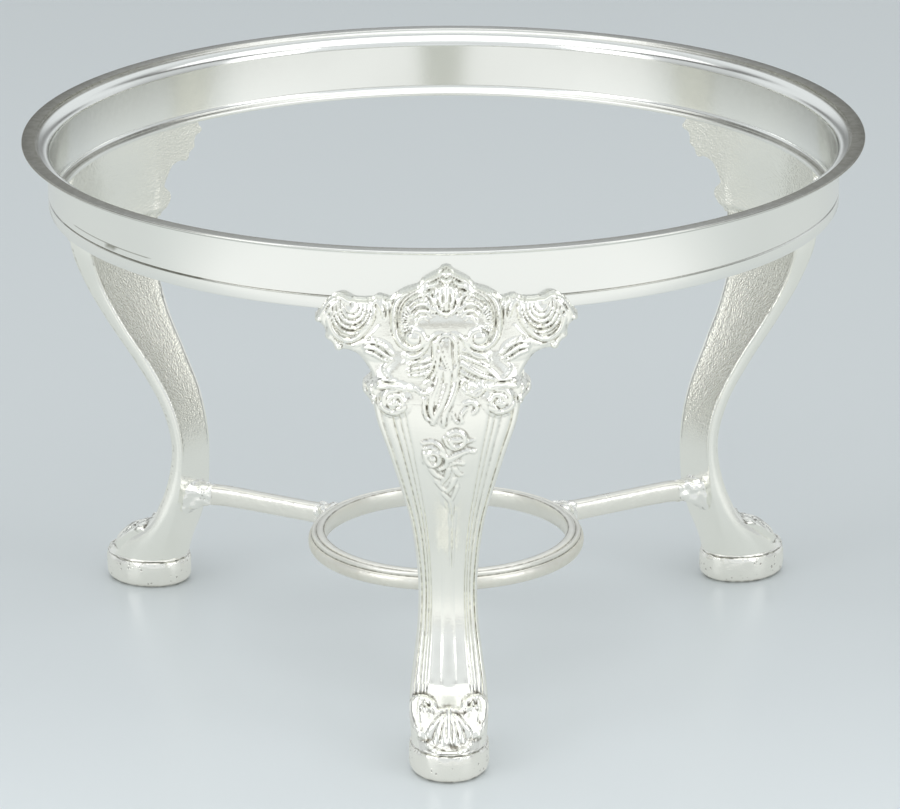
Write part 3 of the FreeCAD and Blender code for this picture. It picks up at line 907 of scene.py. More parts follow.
@dataclass
class LegCasting:
    """A cast cabriole leg with its head, reeds and ornament."""

    skin: LegSkin = field(default_factory=LegSkin)
    rows: int = 280
    columns: int = 196
    front_share: float = 0.62
    side_share: float = 0.065
    bulge: float = 0.35
    shaft_top: float = 147.0
    hub_reach: float = 144.0
    tuck: float = 1.4
    toe_top: float = 45.0
    shin_top: float = 130.0
    rim_inset: float = 1.5
    cell: float = 0.42
    head_half: float = 44.6
    head_bottom: float = 134.5
    head_top: float = 185.2
    round_over: float = 1.8
    collar_bottom: float = 167.5
    band: float = 141.04
    plate_back: float = 136.9
    thinnest: float = 0.4
    pits: tuple[Spot, ...] = (
        (-11.9, 150.6, 0.6), (-4.7, 145.2, 0.7), (-12.8, 140.1, 0.5), (-18.9, 134.9, 0.5),
        (-31.8, 170.8, 0.5), (-2.4, 119.5, 0.5), (-8.2, 115.6, 0.4), (-1.6, 112.9, 0.5), (14.3, 150.2, 0.4),
        (9.6, 147.9, 0.4), (-10.3, 17.2, 0.7), (-8.8, 16.0, 0.5), (10.2, 17.4, 0.6),
    )
    outline: tuple[Point, ...] = (
        (0.0, 184.4), (1.6, 183.9), (2.9, 182.4), (4.4, 181.6), (6.4, 180.6), (8.3, 179.3), (9.1, 178.0),
        (10.4, 177.2), (13.0, 176.4), (15.6, 175.4), (17.4, 174.3), (18.7, 173.0), (20.6, 173.5),
        (23.2, 173.9), (25.0, 172.9), (29.0, 172.7), (32.6, 172.9), (34.6, 174.0), (37.0, 173.8),
        (39.2, 172.2), (41.2, 169.6), (42.7, 166.6), (43.9, 164.9), (43.6, 163.5), (42.1, 163.0),
        (40.9, 161.9), (40.4, 160.0), (40.5, 158.2), (39.2, 157.2), (38.0, 156.2), (37.4, 154.4),
        (36.0, 153.7), (34.5, 154.4), (32.0, 154.2), (29.6, 153.2), (27.6, 151.0), (26.0, 148.6),
        (25.0, 146.3), (26.2, 144.9), (27.6, 143.6), (28.3, 141.6), (27.6, 139.4), (26.0, 138.0),
        (24.7, 136.6), (24.3, 134.9),
    )

    def build(self) -> None:
        """Builds the casting once and sets a copy at each place."""
        joined = bpy.data.meshes.new("leg_parts")
        bm = bmesh.new()
        for part in (self.shaft(), self.head()):
            part.to_mesh(joined)
            part.free()
            bm.from_mesh(joined)
        for place in Place:
            finish_piece(bm.copy(), place.node("leg") + "_casting", CAST, place.node("leg"), place.turn)
        bm.free()
        bpy.data.meshes.remove(joined)

    def marked(self, bm: bmesh.types.BMesh, soft: Array, sharp: Array, rough: Array) -> None:
        """Stores the painted shade of recesses, the painted dark lines of creases and how rough from the
        mould each vertex is.
        """
        for name, values in (("recess", soft), ("line", sharp), ("hammer", rough)):
            paint(bm, name, values.tolist())

    def pitted(self, across: Array, up: Array) -> Array:
        """1 at the small dark pits in the casting."""
        dark = sum(np.hypot(across - east, up - north) < size for east, north, size in self.pits)
        return dark.astype(float)

    def shaft(self) -> bmesh.types.BMesh:
        """Closed tube from inside the head down to the foot's sole.

        Returns:
            The mesh, with its paint.
        """
        bm = bmesh.new()
        bmesh.ops.create_grid(bm, x_segments=self.columns, y_segments=self.rows, size=1.0)
        grid = corners(bm)
        order = np.lexsort((grid[:, 0], np.round(grid[:, 1], 6)))
        shape = (self.rows + 1, self.columns + 1)
        around = ((grid[order, 0] + 1) / 2).reshape(shape)
        up = ((grid[order, 1] + 1) / 2).reshape(shape)
        level = self.skin.bottom + (self.shaft_top - self.skin.bottom) * up
        across, reach, front = self.section(around, level)
        base = np.stack([across, -reach, level], axis=-1)
        normal = self.outward(base)
        relief = self.shaft_relief(base, front)
        sunk = step(level, 137.9, 140.5) * self.tuck
        sunk *= np.where((front == 0) & (np.abs(normal[..., 0]) < 0.7), -1.0, 1.0)
        points = base + normal * (relief - sunk)[..., None]
        points[..., 1] = -self.skin.held(-points[..., 1])
        points[:, -1] = points[:, 0]
        hub = np.array((0.0, -self.hub_reach, self.shaft_top))
        points[-1] = hub + (points[-1] - hub) * (0.5, 0.3, 0.0)
        paints = self.shaft_paint(across, level, front, relief)
        placed = np.empty((len(grid), 6))
        placed[order] = np.concatenate([points.reshape(-1, 3), paints.reshape(-1, 3)], axis=1)
        move_to(bm, placed[:, :3])
        self.marked(bm, *placed[:, 3:].T)
        close_up(bm, 1e-3)
        rims = [edge for edge in bm.edges if edge.is_boundary]
        bmesh.ops.holes_fill(bm, edges=rims, sides=0)
        bmesh.ops.recalc_face_normals(bm, faces=bm.faces)
        return bm

    @staticmethod
    def outward(base: Array) -> Array:
        """Directions out of the plain shaft.

        Args:
            base: places on it, in rows and columns.

        Returns:
            A direction of length one for each place.
        """
        normal = np.cross(np.gradient(base, axis=1), np.gradient(base, axis=0))
        normal /= np.linalg.norm(normal, axis=2, keepdims=True) + 1e-9
        return normal * np.where((normal * base)[..., :2].sum(2, keepdims=True) < 0, -1.0, 1.0)

    def shaft_relief(self, base: Array, front: Array) -> Array:
        """Height of the ornament on the shaft and the toe.

        Args:
            base: places on the plain shaft, in rows and columns.
            front: 1 wherever the front is.

        Returns:
            Heights in the same rows and columns.
        """
        across, level = base[..., 0], base[..., 2]
        middle = np.argmin(np.abs(across[0]) + (base[0, :, 1] > -125) * 100)
        steps = np.linalg.norm(np.diff(base[:, middle], axis=0), axis=1)
        along = np.concatenate([[0], np.cumsum(steps)])[:, None] + np.zeros(across.shape)
        relief = HEAD.height(across.ravel(), level.ravel()) * (level.ravel() > self.toe_top)
        toe = TOE.height(across.ravel(), along.ravel())
        return (np.maximum(relief, toe) * front.ravel()).reshape(across.shape)

    def shaft_paint(self, across: Array, level: Array, front: Array, relief: Array) -> Array:
        """Painted shade in the recesses and reed grooves, painted dark lines in the creases, dark pits, and
        mould roughness of the shaft.

        Args:
            across: places across the leg, in rows and columns.
            level: heights above the floor.
            front: 1 wherever the front is.
            relief: height of the ornament.

        Returns:
            The three numbers of each place.
        """
        reeds = self.skin.front(across, level, 0.0) - self.skin.front(across, level)
        # Painted shade: soft darkening in the hollows of the relief and sharp dark lines in its creases,
        # strongest on the toe.
        soft, sharp = self.hollows(relief)
        strength = np.where(level < self.toe_top, 1.6, np.where(level < self.shin_top, 0.7, 1.0))
        # Painted shade lines in the reed grooves.
        sharp = np.maximum(np.clip(sharp * strength, 0, 1), 0.42 * step(reeds, 0.25, 0.8))
        sharp = np.maximum(sharp, self.pitted(across.ravel(), level.ravel()).reshape(across.shape)) * front
        inset = self.skin.at("half", level) - np.abs(across)
        # Painted shade line just inside the rim of the hollow back.
        rim = (1 - front) * (np.abs(inset - self.rim_inset) < 0.35) * step(level, 50.0, 62.0) * 0.7
        rough = (1 - front) * step(level, 46.0, 68.0) * (inset > 1.2)
        # Recess paint holds the painted shade of the hollows and reed grooves; line paint holds the painted
        # shade lines and the dark pits.
        return np.stack([np.maximum(soft, reeds * 0.6) * front, np.maximum(sharp, rim), rough], axis=-1)

    @staticmethod
    def hollows(relief: Array) -> tuple[Array, Array]:
        """How far each place lies below what is round it.

        Args:
            relief: heights in rows and columns.

        Returns:
            The same softly and sharply, each between 0 and 1.
        """
        blurred = relief
        for _ in range(4):
            padded = np.pad(blurred, 1, mode="edge")
            blurred = (padded[:-2, 1:-1] + padded[2:, 1:-1] + padded[1:-1, :-2] + padded[1:-1, 2:]) / 4
        return np.clip((blurred - relief) / 0.4, 0, 1), np.clip((blurred - relief - 0.08) / 0.15, 0, 1)

    def section(self, around: Array, level: Array) -> tuple[Array, Array, Array]:
        """Outline of the shaft.

        Args:
            around: share of the way round, from the front's right edge.
            level: heights above the floor.

        Returns:
            Places across and out, and a 1 wherever the front is.
        """
        skin = self.skin
        half, back = skin.at("half", level), skin.at("back", level)
        first, second, third = self.front_share, self.front_share + self.side_share, 1 - self.side_share
        facing = half * (1 - 2 * np.clip(around / first, 0, 1))
        down = np.clip((around - first) / (second - first), 0, 1)
        behind = half * (2 * np.clip((around - second) / (third - second), 0, 1) - 1)
        rising = np.clip((around - third) / (1 - third), 0, 1)
        edge = skin.front(half, level)
        stretches = [around <= first, around <= second, around <= third]
        across = np.select(stretches, [facing, -half - self.bulge * np.sin(math.pi * down), behind],
                           half + self.bulge * np.sin(math.pi * rising))
        reach = np.select(stretches, [skin.front(facing, level), edge + (back - edge) * down,
                                      skin.rear(behind, level)], back + (edge - back) * rising)
        deep = (skin.at("side", level) + skin.at("crown", level)) / 2
        centre = back + deep
        stretch = np.hypot(across / half, (reach - centre) / deep)
        turned = skin.at("oval", level) * (1 / np.maximum(stretch, 0.2) - 1) + 1
        return across * turned, centre + (reach - centre) * turned, (around <= first).astype(float)

    def head(self) -> bmesh.types.BMesh:
        """Outlined plate with the ornament raised on its front.

        Returns:
            The mesh, with its paint.
        """
        right = rounded(self.outline, 3)
        line = np.concatenate([right, right[-1:0:-1] * (-1, 1)])
        bm = self.plate(line)
        here = corners(bm)
        across, level, fore = here[:, 0], here[:, 1], here[:, 2] > 0.5
        relief = HEAD.height(across, level)
        gap, _, _ = self.against(here[:, :2], line)
        inner = np.clip(gap / self.round_over, 0, 1)
        shoulder = self.round_over * (1 - np.sqrt(1 - (1 - inner) ** 2)) * (level > 137.5)
        sunk = (1 - step(level, 135.2, 138.1)) * self.tuck
        rear = self.head_rear(across, level) + sunk
        front = np.maximum(self.skin.head(across, level) + relief - shoulder - sunk, rear + self.thinnest)
        move_to(bm, np.column_stack([across, -self.skin.held(np.where(fore, front, rear)), level]))
        # Painted shade: darkening below the ornament, and dark lines in its creases and at its pits.
        soft = np.clip(self.below(across, level, relief, 1.1) / 0.7, 0, 1) * fore
        sharp = np.clip((self.below(across, level, relief, 0.45) - 0.16) / 0.16, 0, 1)
        sharp = np.maximum(sharp, self.pitted(across, level)) * fore
        self.marked(bm, soft, sharp, ~fore * (0.4 + 0.35 * step(np.abs(across), 8.0, 30.0)))
        bmesh.ops.recalc_face_normals(bm, faces=bm.faces)
        return bm

    def plate(self, line: Array) -> bmesh.types.BMesh:
        """Flat plate of small cells, cut to an outline and given a front and a back.

        Args:
            line: corners of the outline.

        Returns:
            The mesh, with its back at 0 and its front at 1.
        """
        wide, low, high = self.head_half, self.head_bottom, self.head_top
        bm = bmesh.new()
        bmesh.ops.create_grid(bm, x_segments=int(2 * wide / self.cell),
                              y_segments=int((high - low) / self.cell), size=1.0)
        grid = corners(bm)
        spots = np.column_stack([grid[:, 0] * wide, low + (grid[:, 1] + 1) / 2 * (high - low)])
        gap, nearest, inside = self.against(spots, line)
        snap = gap < 0.5 * self.cell
        spots[snap] = nearest[snap]
        move_to(bm, np.column_stack([spots, np.zeros(len(spots))]))
        drop = [vert for vert, keep in zip(bm.verts, inside | snap) if not keep]
        bmesh.ops.delete(bm, geom=drop, context="VERTS")
        bmesh.ops.delete(bm, geom=[vert for vert in bm.verts if not vert.link_faces], context="VERTS")
        for item in bmesh.ops.extrude_face_region(bm, geom=bm.faces[:])["geom"]:
            if isinstance(item, bmesh.types.BMVert):
                item.co.z = 1.0
        return bm

    def head_rear(self, across: Array, level: Array) -> Array:
        """How far out the head's back is, against the collar and hollowed below it.

        Args:
            across: places across the leg.
            level: heights above the floor.

        Returns:
            Distance from the stand's axis.
        """
        rear = np.where(level < self.collar_bottom + 0.35, self.plate_back, self.band)
        hollow = self.skin.rear(across, np.minimum(level, 160.0),
                                self.skin.rim_share * (1 - step(level, 139.0, 150.0)))
        hollow = np.clip(hollow - self.plate_back, 0, None) * (1 - step(level, 141.0, 165.0))
        return np.sqrt(rear ** 2 - across ** 2) + hollow * (np.abs(across) < 24.0)

    @staticmethod
    def below(across: Array, level: Array, relief: Array, reach: float) -> Array:
        """How far each place lies below the ornament a little way off.

        Args:
            across: places across the leg.
            level: heights above the floor.
            relief: height of the ornament there.
            reach: how far off it is compared.

        Returns:
            Depths in millimetres.
        """
        total = np.zeros(len(across))
        for turn in range(6):
            east, north = reach * math.cos(turn * math.pi / 3), reach * math.sin(turn * math.pi / 3)
            total += HEAD.height(across + east, level + north) / 6
        return total - relief

    @staticmethod
    def against(spots: Array, line: Array) -> tuple[Array, Array, Array]:
        """Where spots lie against a closed line.

        Args:
            spots: places to test.
            line: corners of the closed line.

        Returns:
            Distance to the line, the nearest place on it, and whether each spot is inside.
        """
        gap = np.full(len(spots), 1e9)
        nearest = np.zeros_like(spots)
        inside = np.zeros(len(spots), bool)
        for start, end in zip(line, np.roll(line, -1, axis=0)):
            run = end - start
            if abs(run).sum() < 1e-9:
                continue
            share = np.clip(((spots - start) @ run) / (run @ run), 0, 1)
            place = start + share[:, None] * run
            away = np.linalg.norm(spots - place, axis=1)
            closer = away < gap
            gap[closer] = away[closer]
            nearest[closer] = place[closer]
            crosses = (start[1] > spots[:, 1]) != (end[1] > spots[:, 1])
            if run[1]:
                inside ^= crosses & (spots[:, 0] < start[0] + (spots[:, 1] - start[1]) / run[1] * run[0])
        return gap, nearest, inside


# The collar, ring, feet and arms


@dataclass
class Collar:
    """Spun band that the dish sits in."""

    top: float = 191.7
    bottom: float = 167.5
    rim: float = 150.0
    band: float = 141.0
    wall: float = 1.2
    flange: float = 145.6
    seat: float = 136.6
    seam: float = 172.2
    cove_start: float = 147.2
    cove_drop: float = 4.3
    cove_fall: float = 2.7
    bend_end: float = 144.4
    bend_drop: float = 5.6
    bend_rise: float = 4.2
    steps: int = 288

    def build(self) -> None:
        """Turns the band and dresses it."""
        bm = lathe(self.profile(), self.steps)
        # Tarnishing with painted shade in the seam, under the step and round the seat.
        paint_by(bm, "recess", self.tarnish_and_shade)
        # Dark lines: a dark seam, real scratches, and painted shade and dark reflections on the flange and
        # inside.
        paint_by(bm, "line", self.scuffs_and_painted_shade)
        paint_by(bm, "hammer", lambda spot: float(spot.xy.length > self.band - 0.1 and spot.z < self.top - 2))
        finish_piece(bm, "collar_band", SPUN, "collar", crease=30.0)

    def profile(self) -> list[Point]:
        """Section of the band, from the rim's top round by the outside.

        Returns:
            Radius and height of its corners.
        """
        top, bottom, band, seat, seam = self.top, self.bottom, self.band, self.seat, self.seam
        inner, shelf, bend, cove = band - self.wall, bottom + self.wall, self.bend_end, self.cove_start
        line = [(self.rim - 0.5, top)] + curve_of((self.rim - 0.4, top - 0.4), (0.4, 0.4), 90, -60, 6)
        line += [(self.rim - 1.0, top - 1.3), (cove - 0.2, top - 1.45)]
        line += curve_of((cove, top - self.cove_drop), (cove - band, self.cove_fall), 100, 180, 9)
        line += [(band, seam + rise) for rise in (2.9, 2.6, 2.3, 2.0, 0.45)]
        line += [(band - 0.35, seam + 0.2), (band - 0.45, seam), (band - 0.35, seam - 0.2)]
        line += [(band, seam - 0.45), (band, bottom + 0.8)]
        line += [(band - 0.25, bottom + 0.25), (band - 0.8, bottom)]
        line += [(seat + 0.3, bottom), (seat + 0.08, bottom + 0.08), (seat, bottom + 0.3)]
        line += [(seat + 0.1, bottom + 1.0)]
        line += [(seat + 0.5, shelf + 0.1), (inner - 1.7, shelf + 0.1), (inner - 1.4, shelf + 0.5)]
        line += curve_of((inner - 1.4, shelf + 2.4), (1.4, 1.9), -80, 0, 5) + [(inner, top - self.bend_drop)]
        line += curve_of((bend, top - self.bend_drop), (bend - inner, self.bend_rise), 172, 98, 8)
        line += [(bend + 0.1, top - 1.2), (bend + 0.3, top - 0.9), (bend + 0.6, top - 0.75)]
        line += [(self.flange - 0.5, top - 0.15), (self.flange - 0.3, top), (self.flange - 0.1, top)]
        return line

    def scuffs_and_painted_shade(self, spot: Vector) -> float:
        """Dark lines: a dark seam, deepened towards the front left as a painted dark reflection, and a few
        real scratches; on the flange's top and, towards the sides, in the steps and corners inside, painted
        shade and dark reflections.

        Args:
            spot: a place on the band.

        Returns:
            How dark it is, from 0 to about 1.
        """
        radius, turn = spot.xy.length, math.degrees(math.atan2(spot.y, spot.x)) % 360
        # Painted shade and dark reflections are strongest towards the sides.
        side = abs(math.cos(math.radians(turn))) ** 1.5
        rise, drop, lift = spot.z - self.seam, self.top - spot.z, spot.z - self.bottom - self.wall
        # Seam: a dark joint, deepened towards the front left as a painted dark reflection.
        if radius > self.band - 0.6 and abs(rise) < 0.3:
            return 0.9 if 200 < turn < 235 else 0.45 + 0.2 * math.sin(math.radians(3 * turn))
        if radius > self.band - 0.1 and 0.0 < rise < 3.0:
            scratch = 205 < turn < 224 and abs(rise - 2.6) < 0.1
            nick = 215 < turn < 217.5 and abs(rise - 2.3) < 0.4
            return 0.8 * (scratch or nick)
        # Painted dark reflection on the flange's top, strongest at the sides, and a painted shade line at its
        # inner edge in front.
        if radius > self.flange - 0.6 and drop < 0.3:
            return 0.08 + 0.87 * side + 0.5 * (radius < self.flange and turn > 180) * (1 - side)
        # Painted shade line in the step under the rim, at the sides.
        if radius > self.band - self.wall + 3 and abs(drop - 1.0) < 0.4:
            return 0.85 * side
        # Painted shade lines at the cove's foot and in the inner corner, at the sides.
        foot, corner = abs(drop - 5.3) < 0.5, abs(lift - 0.4) < 0.4
        if self.seat + 0.3 < radius < self.band - self.wall + 1 and (foot or corner):
            return side * (0.8 if corner and radius > self.seat + 0.9 else 0.5)
        return 0.0

    def tarnish_and_shade(self, spot: Vector) -> float:
        """Tarnishing and painted shade in the seam, under the step and round the seat.

        Args:
            spot: a place on the band.

        Returns:
            How tarnished and shaded it is, from 0 to 1.
        """
        radius = spot.xy.length
        sunk = self.band - 0.8 < radius < self.band - 0.1
        in_seam = max(0.0, 1 - abs(spot.z - self.seam) / 0.5) if sunk else 0.0
        # Painted shade round the seat inside and under the flange's step, partly tarnishing.
        at_seat = 0.7 if radius < self.band - self.wall + 0.1 and spot.z < self.bottom + 2.4 else 0.0
        at_step = 0.8 if radius < self.flange and spot.z > self.top - 1.4 else 0.0
        return max(in_seam, at_seat, at_step)


@dataclass
class BurnerRing:
    """Reeded ring that holds the burner."""

    bore: float = 44.3
    outer: float = 50.3
    low: float = 35.0
    high: float = 41.8
    steps: int = 192

    def build(self) -> None:
        """Turns the ring and dresses it."""
        bore, outer, low, high = self.bore, self.outer, self.low, self.high
        grooves = ((outer - 2.9, high - 0.6), (outer - 1.15, high - 1.9), (bore + 0.25, high - 0.15))
        line = [(bore, low + 0.5), (bore, high - 0.5), grooves[2], (bore + 0.8, high)]
        line += [(bore + 1.8, high - 0.02), (outer - 3.3, high - 0.2), grooves[0]]
        line += curve_of((outer - 2.0, high - 1.0), (0.8, 0.65), 150, -20, 6) + [grooves[1]]
        line += curve_of((outer - 1.2, low + 2.5), (1.2, 2.4), 78, -60, 8)
        line += [(outer - 1.3, low + 0.2), (outer - 1.9, low), (bore + 0.5, low)]
        bm = lathe(line, self.steps)
        # The side below the top is darker and rougher; painted shade lines darken the grooves.
        paint_by(bm, "recess", lambda spot: 0.6 if spot.z < high - 1.4 and spot.xy.length > bore + 2 else 0.2)
        paint_by(bm, "line", lambda spot: float(
            min(math.dist((spot.xy.length, spot.z), groove) for groove in grooves) < 0.15))
        finish_piece(bm, "burner_ring_band", DRAWN, "burner_ring", crease=50.0)


@dataclass
class Foot:
    """Oval pad under a leg, with the solder seam above it."""

    reach: float = 129.3
    half_length: float = 16.8
    half_width: float = 14.0
    height: float = 10.3
    wall: float = 3.6
    steps: int = 96

    def build(self) -> None:
        """Builds a pad and a seam at each place."""
        wide, top = self.half_width, self.height
        pad = [(0.0, 0.0), (wide - 3.4, 0.0)] + curve_of((wide - 3.0, 2.9), (2.8, 2.9), -80, -10, 6)
        pad += [(wide - 0.05, 3.8), (wide, 6.0), (wide - 0.05, 8.6), (wide - 0.4, top - 0.5)]
        pad += [(wide - 1.0, top - 0.1), (wide - 1.8, top), (0.0, top)]
        seam = [(0.0, top - 0.3), (wide - 1.3, top - 0.3), (wide - 0.7, top - 0.1), (wide - 0.35, top + 0.25)]
        seam += [(wide - 0.5, top + 0.6), (wide - 1.1, top + 0.9), (0.0, top + 0.9)]
        for place in Place:
            cup, line = place.node("foot_pad"), place.node("foot_seam")
            finish_piece(self.oval(pad, 0.12), cup + "_cup", FOOT, cup, place.turn)
            finish_piece(self.oval(seam, 0.25), line + "_line", SOLDER, line, place.turn)

    def oval(self, profile: list[Point], uneven: float) -> bmesh.types.BMesh:
        """Turned form stretched to the pad's oval and set under the leg.

        Args:
            profile: radius and height of the half section.
            uneven: how far hand finishing leaves the wall from true.

        Returns:
            The mesh.
        """
        bm = lathe(profile, self.steps)
        for vert in bm.verts:
            turn = math.atan2(vert.co.y, vert.co.x)
            if math.hypot(vert.co.x, vert.co.y) > self.half_width - self.wall:
                wave = math.sin(5 * turn + 0.7 * vert.co.z) * math.sin(11 * turn + 1.3) * uneven
                vert.co.xy *= 1 - (uneven - wave) / self.half_width
            vert.co.y = vert.co.y * self.half_length / self.half_width - self.reach
        top = self.height
        # Painted shade: darker round the solder seam and at the bottom, with a painted contact shadow as a
        # dark line along the bottom and a dark joint line at the seam.
        paint_by(bm, "recess", lambda spot: (max(0.0, 1 - abs(spot.z - top - 0.6) / 0.5) * 0.7
                                             + max(0.0, 0.9 - spot.z)))
        paint_by(bm, "line", lambda spot: max(0.0, 1 - spot.z / 1.3) + 0.6 * (abs(spot.z - top) < 0.35))
        return bm


@dataclass
class Stretcher:
    """Arm from the burner ring to a leg, with the solder at both ends."""

    inner: float = 50.0
    outer: float = 107.9
    middle: float = 38.1
    half_width: float = 2.8
    half_height: float = 3.7
    lump: float = 0.9
    ripple: float = 0.15
    sides: int = 28

    def build(self) -> None:
        """Builds an arm and its two solder collars at each place."""
        inner, outer = self.inner, self.outer
        arm = ((inner - 0.4, 1, 1, 0), (inner + 3, 1, 1, 0), (inner + 9, 0.96, 0.97, 0), (79, 0.95, 0.97, 0),
               (outer - 18, 0.97, 0.98, 0), (outer - 13, 0.98, 1, -0.1), (outer - 9, 1, 1.02, -0.4),
               (outer - 5, 1, 1.02, -0.9), (outer - 2, 1, 1.02, -1.4), (outer + 1, 1, 1, -1.9))
        ring_end = ((inner - 1.8, 2.5, 0.96, 0), (inner + 0.2, 2, 1, 0), (inner + 1.2, 1.5, 1.02, 0),
                    (inner + 2.6, 1.18, 1.03, 0), (inner + 4.6, 1.02, 1.01, 0))
        leg_end = ((outer - 8.5, 1, 1, -0.5), (outer - 6, 1.14, 1.04, -0.8), (outer - 4, 1.4, 1.12, -1.2),
                   (outer - 2.2, 1.75, 1.2, -1.5), (outer - 0.7, 2.1, 1.32, -1.8),
                   (outer + 0.5, 2.4, 1.6, -2), (outer + 1.8, 2.5, 1.8, -2.2))
        for place in Place:
            for stem, stations, finish in (("stretcher_arm", arm, DRAWN), ("ring_solder", ring_end, SOLDER),
                                           ("leg_solder", leg_end, SOLDER)):
                node = place.node(stem)
                finish_piece(self.swept(stations, finish is SOLDER), node + "_form", finish, node, place.turn)

    def swept(self, stations: tuple, lumpy: bool) -> bmesh.types.BMesh:
        """Crowned bar through stations along the arm.

        Args:
            stations: place along the arm, its width and height there as shares, and how far it is lifted.
            lumpy: whether it is solder, left lumpy and a little tarnished.

        Returns:
            The mesh.
        """
        bm = bmesh.new()
        for vert in bmesh.ops.create_circle(bm, cap_ends=True, segments=self.sides, radius=1.0)["verts"]:
            east, north = vert.co.normalized().xy
            wide = math.copysign(abs(east) ** 0.5, east) * self.half_width
            tall = math.copysign(abs(north) ** (0.8 if north > 0 else 0.4), north) * self.half_height
            vert.co = Vector((wide, 0, tall))
        before = (0.0, 1.0, 1.0, 0.0)
        cap, moved = bm.faces[:], bm.verts[:]
        for index, now in enumerate(stations):
            if index:
                made = bmesh.ops.extrude_face_region(bm, geom=cap)["geom"]
                if index > 1:
                    bmesh.ops.delete(bm, geom=cap, context="FACES_ONLY")
                cap = [item for item in made if isinstance(item, bmesh.types.BMFace)]
                moved = [item for item in made if isinstance(item, bmesh.types.BMVert)]
            for vert in moved:
                tall = (vert.co.z - before[3]) * now[2] / before[2] + now[3]
                vert.co = Vector((vert.co.x * now[1] / before[1], -now[0], tall))
            before = now
        close_up(bm)
        if lumpy:
            bmesh.ops.subdivide_edges(bm, edges=bm.edges[:], cuts=2, use_grid_fill=True, smooth=0.3)
            for vert in bm.verts:
                lift = self.lump * noise.noise(vert.co * 0.4) + self.ripple * noise.noise(vert.co)
                vert.co += vert.normal * lift
        bmesh.ops.translate(bm, vec=Vector((0, 0, self.middle)), verts=bm.verts)
        paint_by(bm, "recess", lambda spot: 0.3 if lumpy else 0.0)
        close_up(bm)
        return bm


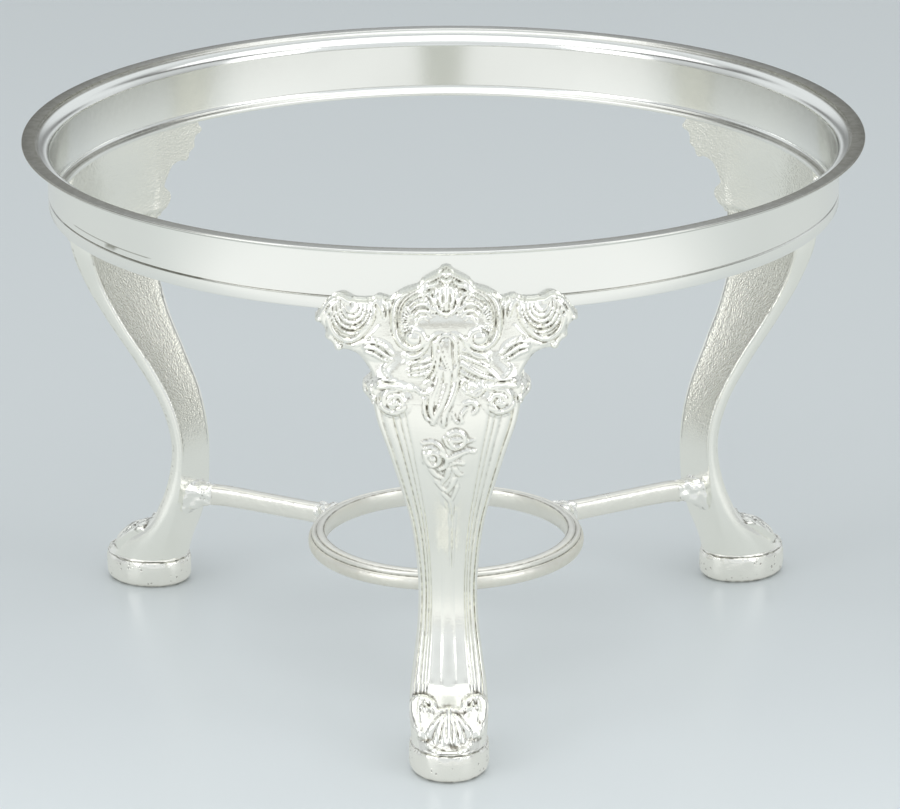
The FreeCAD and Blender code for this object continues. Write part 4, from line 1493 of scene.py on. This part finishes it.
@dataclass
class Stage:
    """Floor, lamps, surroundings and camera."""

    camera_spot: Spot = (0.003404, -1.874477, 0.711701)
    lens: float = 218.13
    sensor: float = 36.0
    pitch: float = 0.320828
    yaw: float = -0.00088
    roll: float = -0.006543
    swing: float = -0.006302
    aim: Spot = (0.0, 0.0, 0.1)
    softboxes: tuple = (
        ("overhead_softbox", (0.0, -0.2, 1.9), (3.2, 2.4), 19.5),
        ("left_softbox", (-1.8, -1.3, 0.9), (1.0, 1.4), 7.5),
        ("right_softbox", (1.8, -1.2, 0.9), (1.0, 1.4), 6.0),
    )

    def build(self) -> None:
        """Sets the whole stage."""
        self.floor()
        self.world()
        for softbox in self.softboxes:
            self.lamp(*softbox)
        self.camera()
        bpy.context.scene.view_settings.view_transform = "Standard"

    def floor(self) -> None:
        """Wide pale table top, painted darker away from the lens, which metal sees as a glowing sweep of
        painted reflection.
        """
        bm = bmesh.new()
        bmesh.ops.create_grid(bm, x_segments=4, y_segments=4, size=6.0)
        mesh = bpy.data.meshes.new("table_top")
        bm.to_mesh(mesh)
        bm.free()
        table = bpy.data.objects.new("table_top", mesh)
        bpy.context.scene.collection.objects.link(table)
        mesh.materials.append(self.table_cloth())

    def table_cloth(self) -> bpy.types.Material:
        """Pale table, painted darker away from the lens as painted light falloff, that glows in reflections
        with a graded colour as a painted reflection.

        Returns:
            The material.
        """
        material = bpy.data.materials.new("pale_table")
        material.use_nodes = True
        bench = Bench(material.node_tree)
        aside, depth, _ = bench.axes(bench.where())
        # Painted light falloff: the table is lighter near the lens and darker away from it.
        colour = bench.blend(rgb(236, 242, 244), rgb(205, 211, 213), depth.between(-0.45, 0.1))
        colour = bench.blend(colour, rgb(205, 211, 212), depth.between(0.5, 3.0))
        surface = bench.add("ShaderNodeBsdfPrincipled", None, {"Base Color": colour, "Roughness": 0.32})
        # Painted reflection: glossy rays see the table glow, brightest just in front of the stand and darker
        # far in front.
        near = depth.between(-0.06, -0.4)
        painted_reflection_tone = bench.blend(rgb(210, 213, 209), rgb(224, 226, 220), (aside * aside).between(0.02, 0.3))
        for shade, share in ((rgb(206, 209, 207), depth.between(0.35, 0.8)), (rgb(247, 249, 247), near),
                             (rgb(182, 181, 175), depth.between(-0.95, -1.6))):
            painted_reflection_tone = bench.blend(painted_reflection_tone, shade, share)
        glow = bench.add("ShaderNodeEmission", None, {"Color": painted_reflection_tone, "Strength": 1.05})
        path = bench.add("ShaderNodeLightPath", output="Is Glossy Ray")
        both = bench.add("ShaderNodeMixShader", None, {0: path * (0.5 + near * 0.45), 1: surface, 2: glow})
        bench.add("ShaderNodeOutputMaterial", None, {"Surface": both})
        return material

    def world(self) -> None:
        """Pale studio with a darker band behind the object and above the lens."""
        world = bpy.data.worlds.new("studio")
        world.use_nodes = True
        bpy.context.scene.world = world
        bench = Bench(world.node_tree)
        east, north, up = bench.axes(bench.where("Generated"))
        behind = north.between(0.55, 0.8) * up.between(0.1, 0.2) * up.between(0.325, 0.262)
        lens = north.between(-0.8, -0.93) * up.between(0.16, 0.28) * up.between(0.6, 0.42)
        low = up.between(0.42, 0.12) * north.between(-0.6, -0.1) * 0.5
        aside = up.between(0.62, 0.5) * up.between(-0.1, 0.1)
        aside = aside * north.between(-0.8, -0.5) * north.between(0.4, 0.15)
        gap = up.between(0.55, 0.62) * up.between(0.76, 0.69) * (east * east).between(0.06, 0.35)
        shade = behind * 0.67 + lens * 0.1 + (low + aside) * 0.22 + gap * 0.8 + up.between(0.6, 0.9) * 0.3
        colour = bench.blend(rgb(232, 236, 238), rgb(38, 34, 24), shade)
        background = bench.add("ShaderNodeBackground", None, {"Color": colour, "Strength": 1.0})
        bench.add("ShaderNodeOutputWorld", None, {"Surface": background})

    def lamp(self, name: str, spot: Spot, size: Point, power: float) -> None:
        """Hangs a softbox that faces the object.

        Args:
            name: the lamp's name.
            spot: where it hangs.
            size: its width and height.
            power: its power.
        """
        light = bpy.data.lights.new(name, "AREA")
        light.shape = "RECTANGLE"
        light.size, light.size_y = size
        light.energy = power
        lamp = bpy.data.objects.new(name, light)
        lamp.location = spot
        lamp.rotation_euler = (Vector(self.aim) - Vector(spot)).to_track_quat("-Z", "Y").to_euler()
        bpy.context.scene.collection.objects.link(lamp)

    def camera(self) -> None:
        """Sets the camera where the photograph was taken from."""
        ahead = Vector((math.sin(self.yaw) * math.cos(self.pitch), math.cos(self.yaw) * math.cos(self.pitch),
                        -math.sin(self.pitch)))
        level = Vector((math.cos(self.yaw), -math.sin(self.yaw), 0))
        upright = level.cross(ahead)
        right = level * math.cos(self.roll) + upright * math.sin(self.roll)
        upward = upright * math.cos(self.roll) - level * math.sin(self.roll)
        turned = Matrix((right, upward, -ahead)).transposed().to_4x4()
        data = bpy.data.cameras.new("camera")
        data.lens = self.lens
        data.sensor_width = self.sensor
        data.clip_end = 50.0
        camera = bpy.data.objects.new("camera", data)
        placed = Matrix.Translation(self.camera_spot) @ turned
        camera.matrix_world = Matrix.Rotation(self.swing, 4, "Z") @ placed
        bpy.context.scene.collection.objects.link(camera)
        bpy.context.scene.camera = camera


def main() -> None:
    """Builds the stand and its stage."""
    logging.basicConfig(level=logging.INFO, format="%(name)s %(message)s")
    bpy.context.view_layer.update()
    for part in (Collar(), BurnerRing(), LegCasting(), Foot(), Stretcher(), Stage()):
        part.build()
        log.info("built %s", type(part).__name__)


if __name__ == "__main__":
    main()
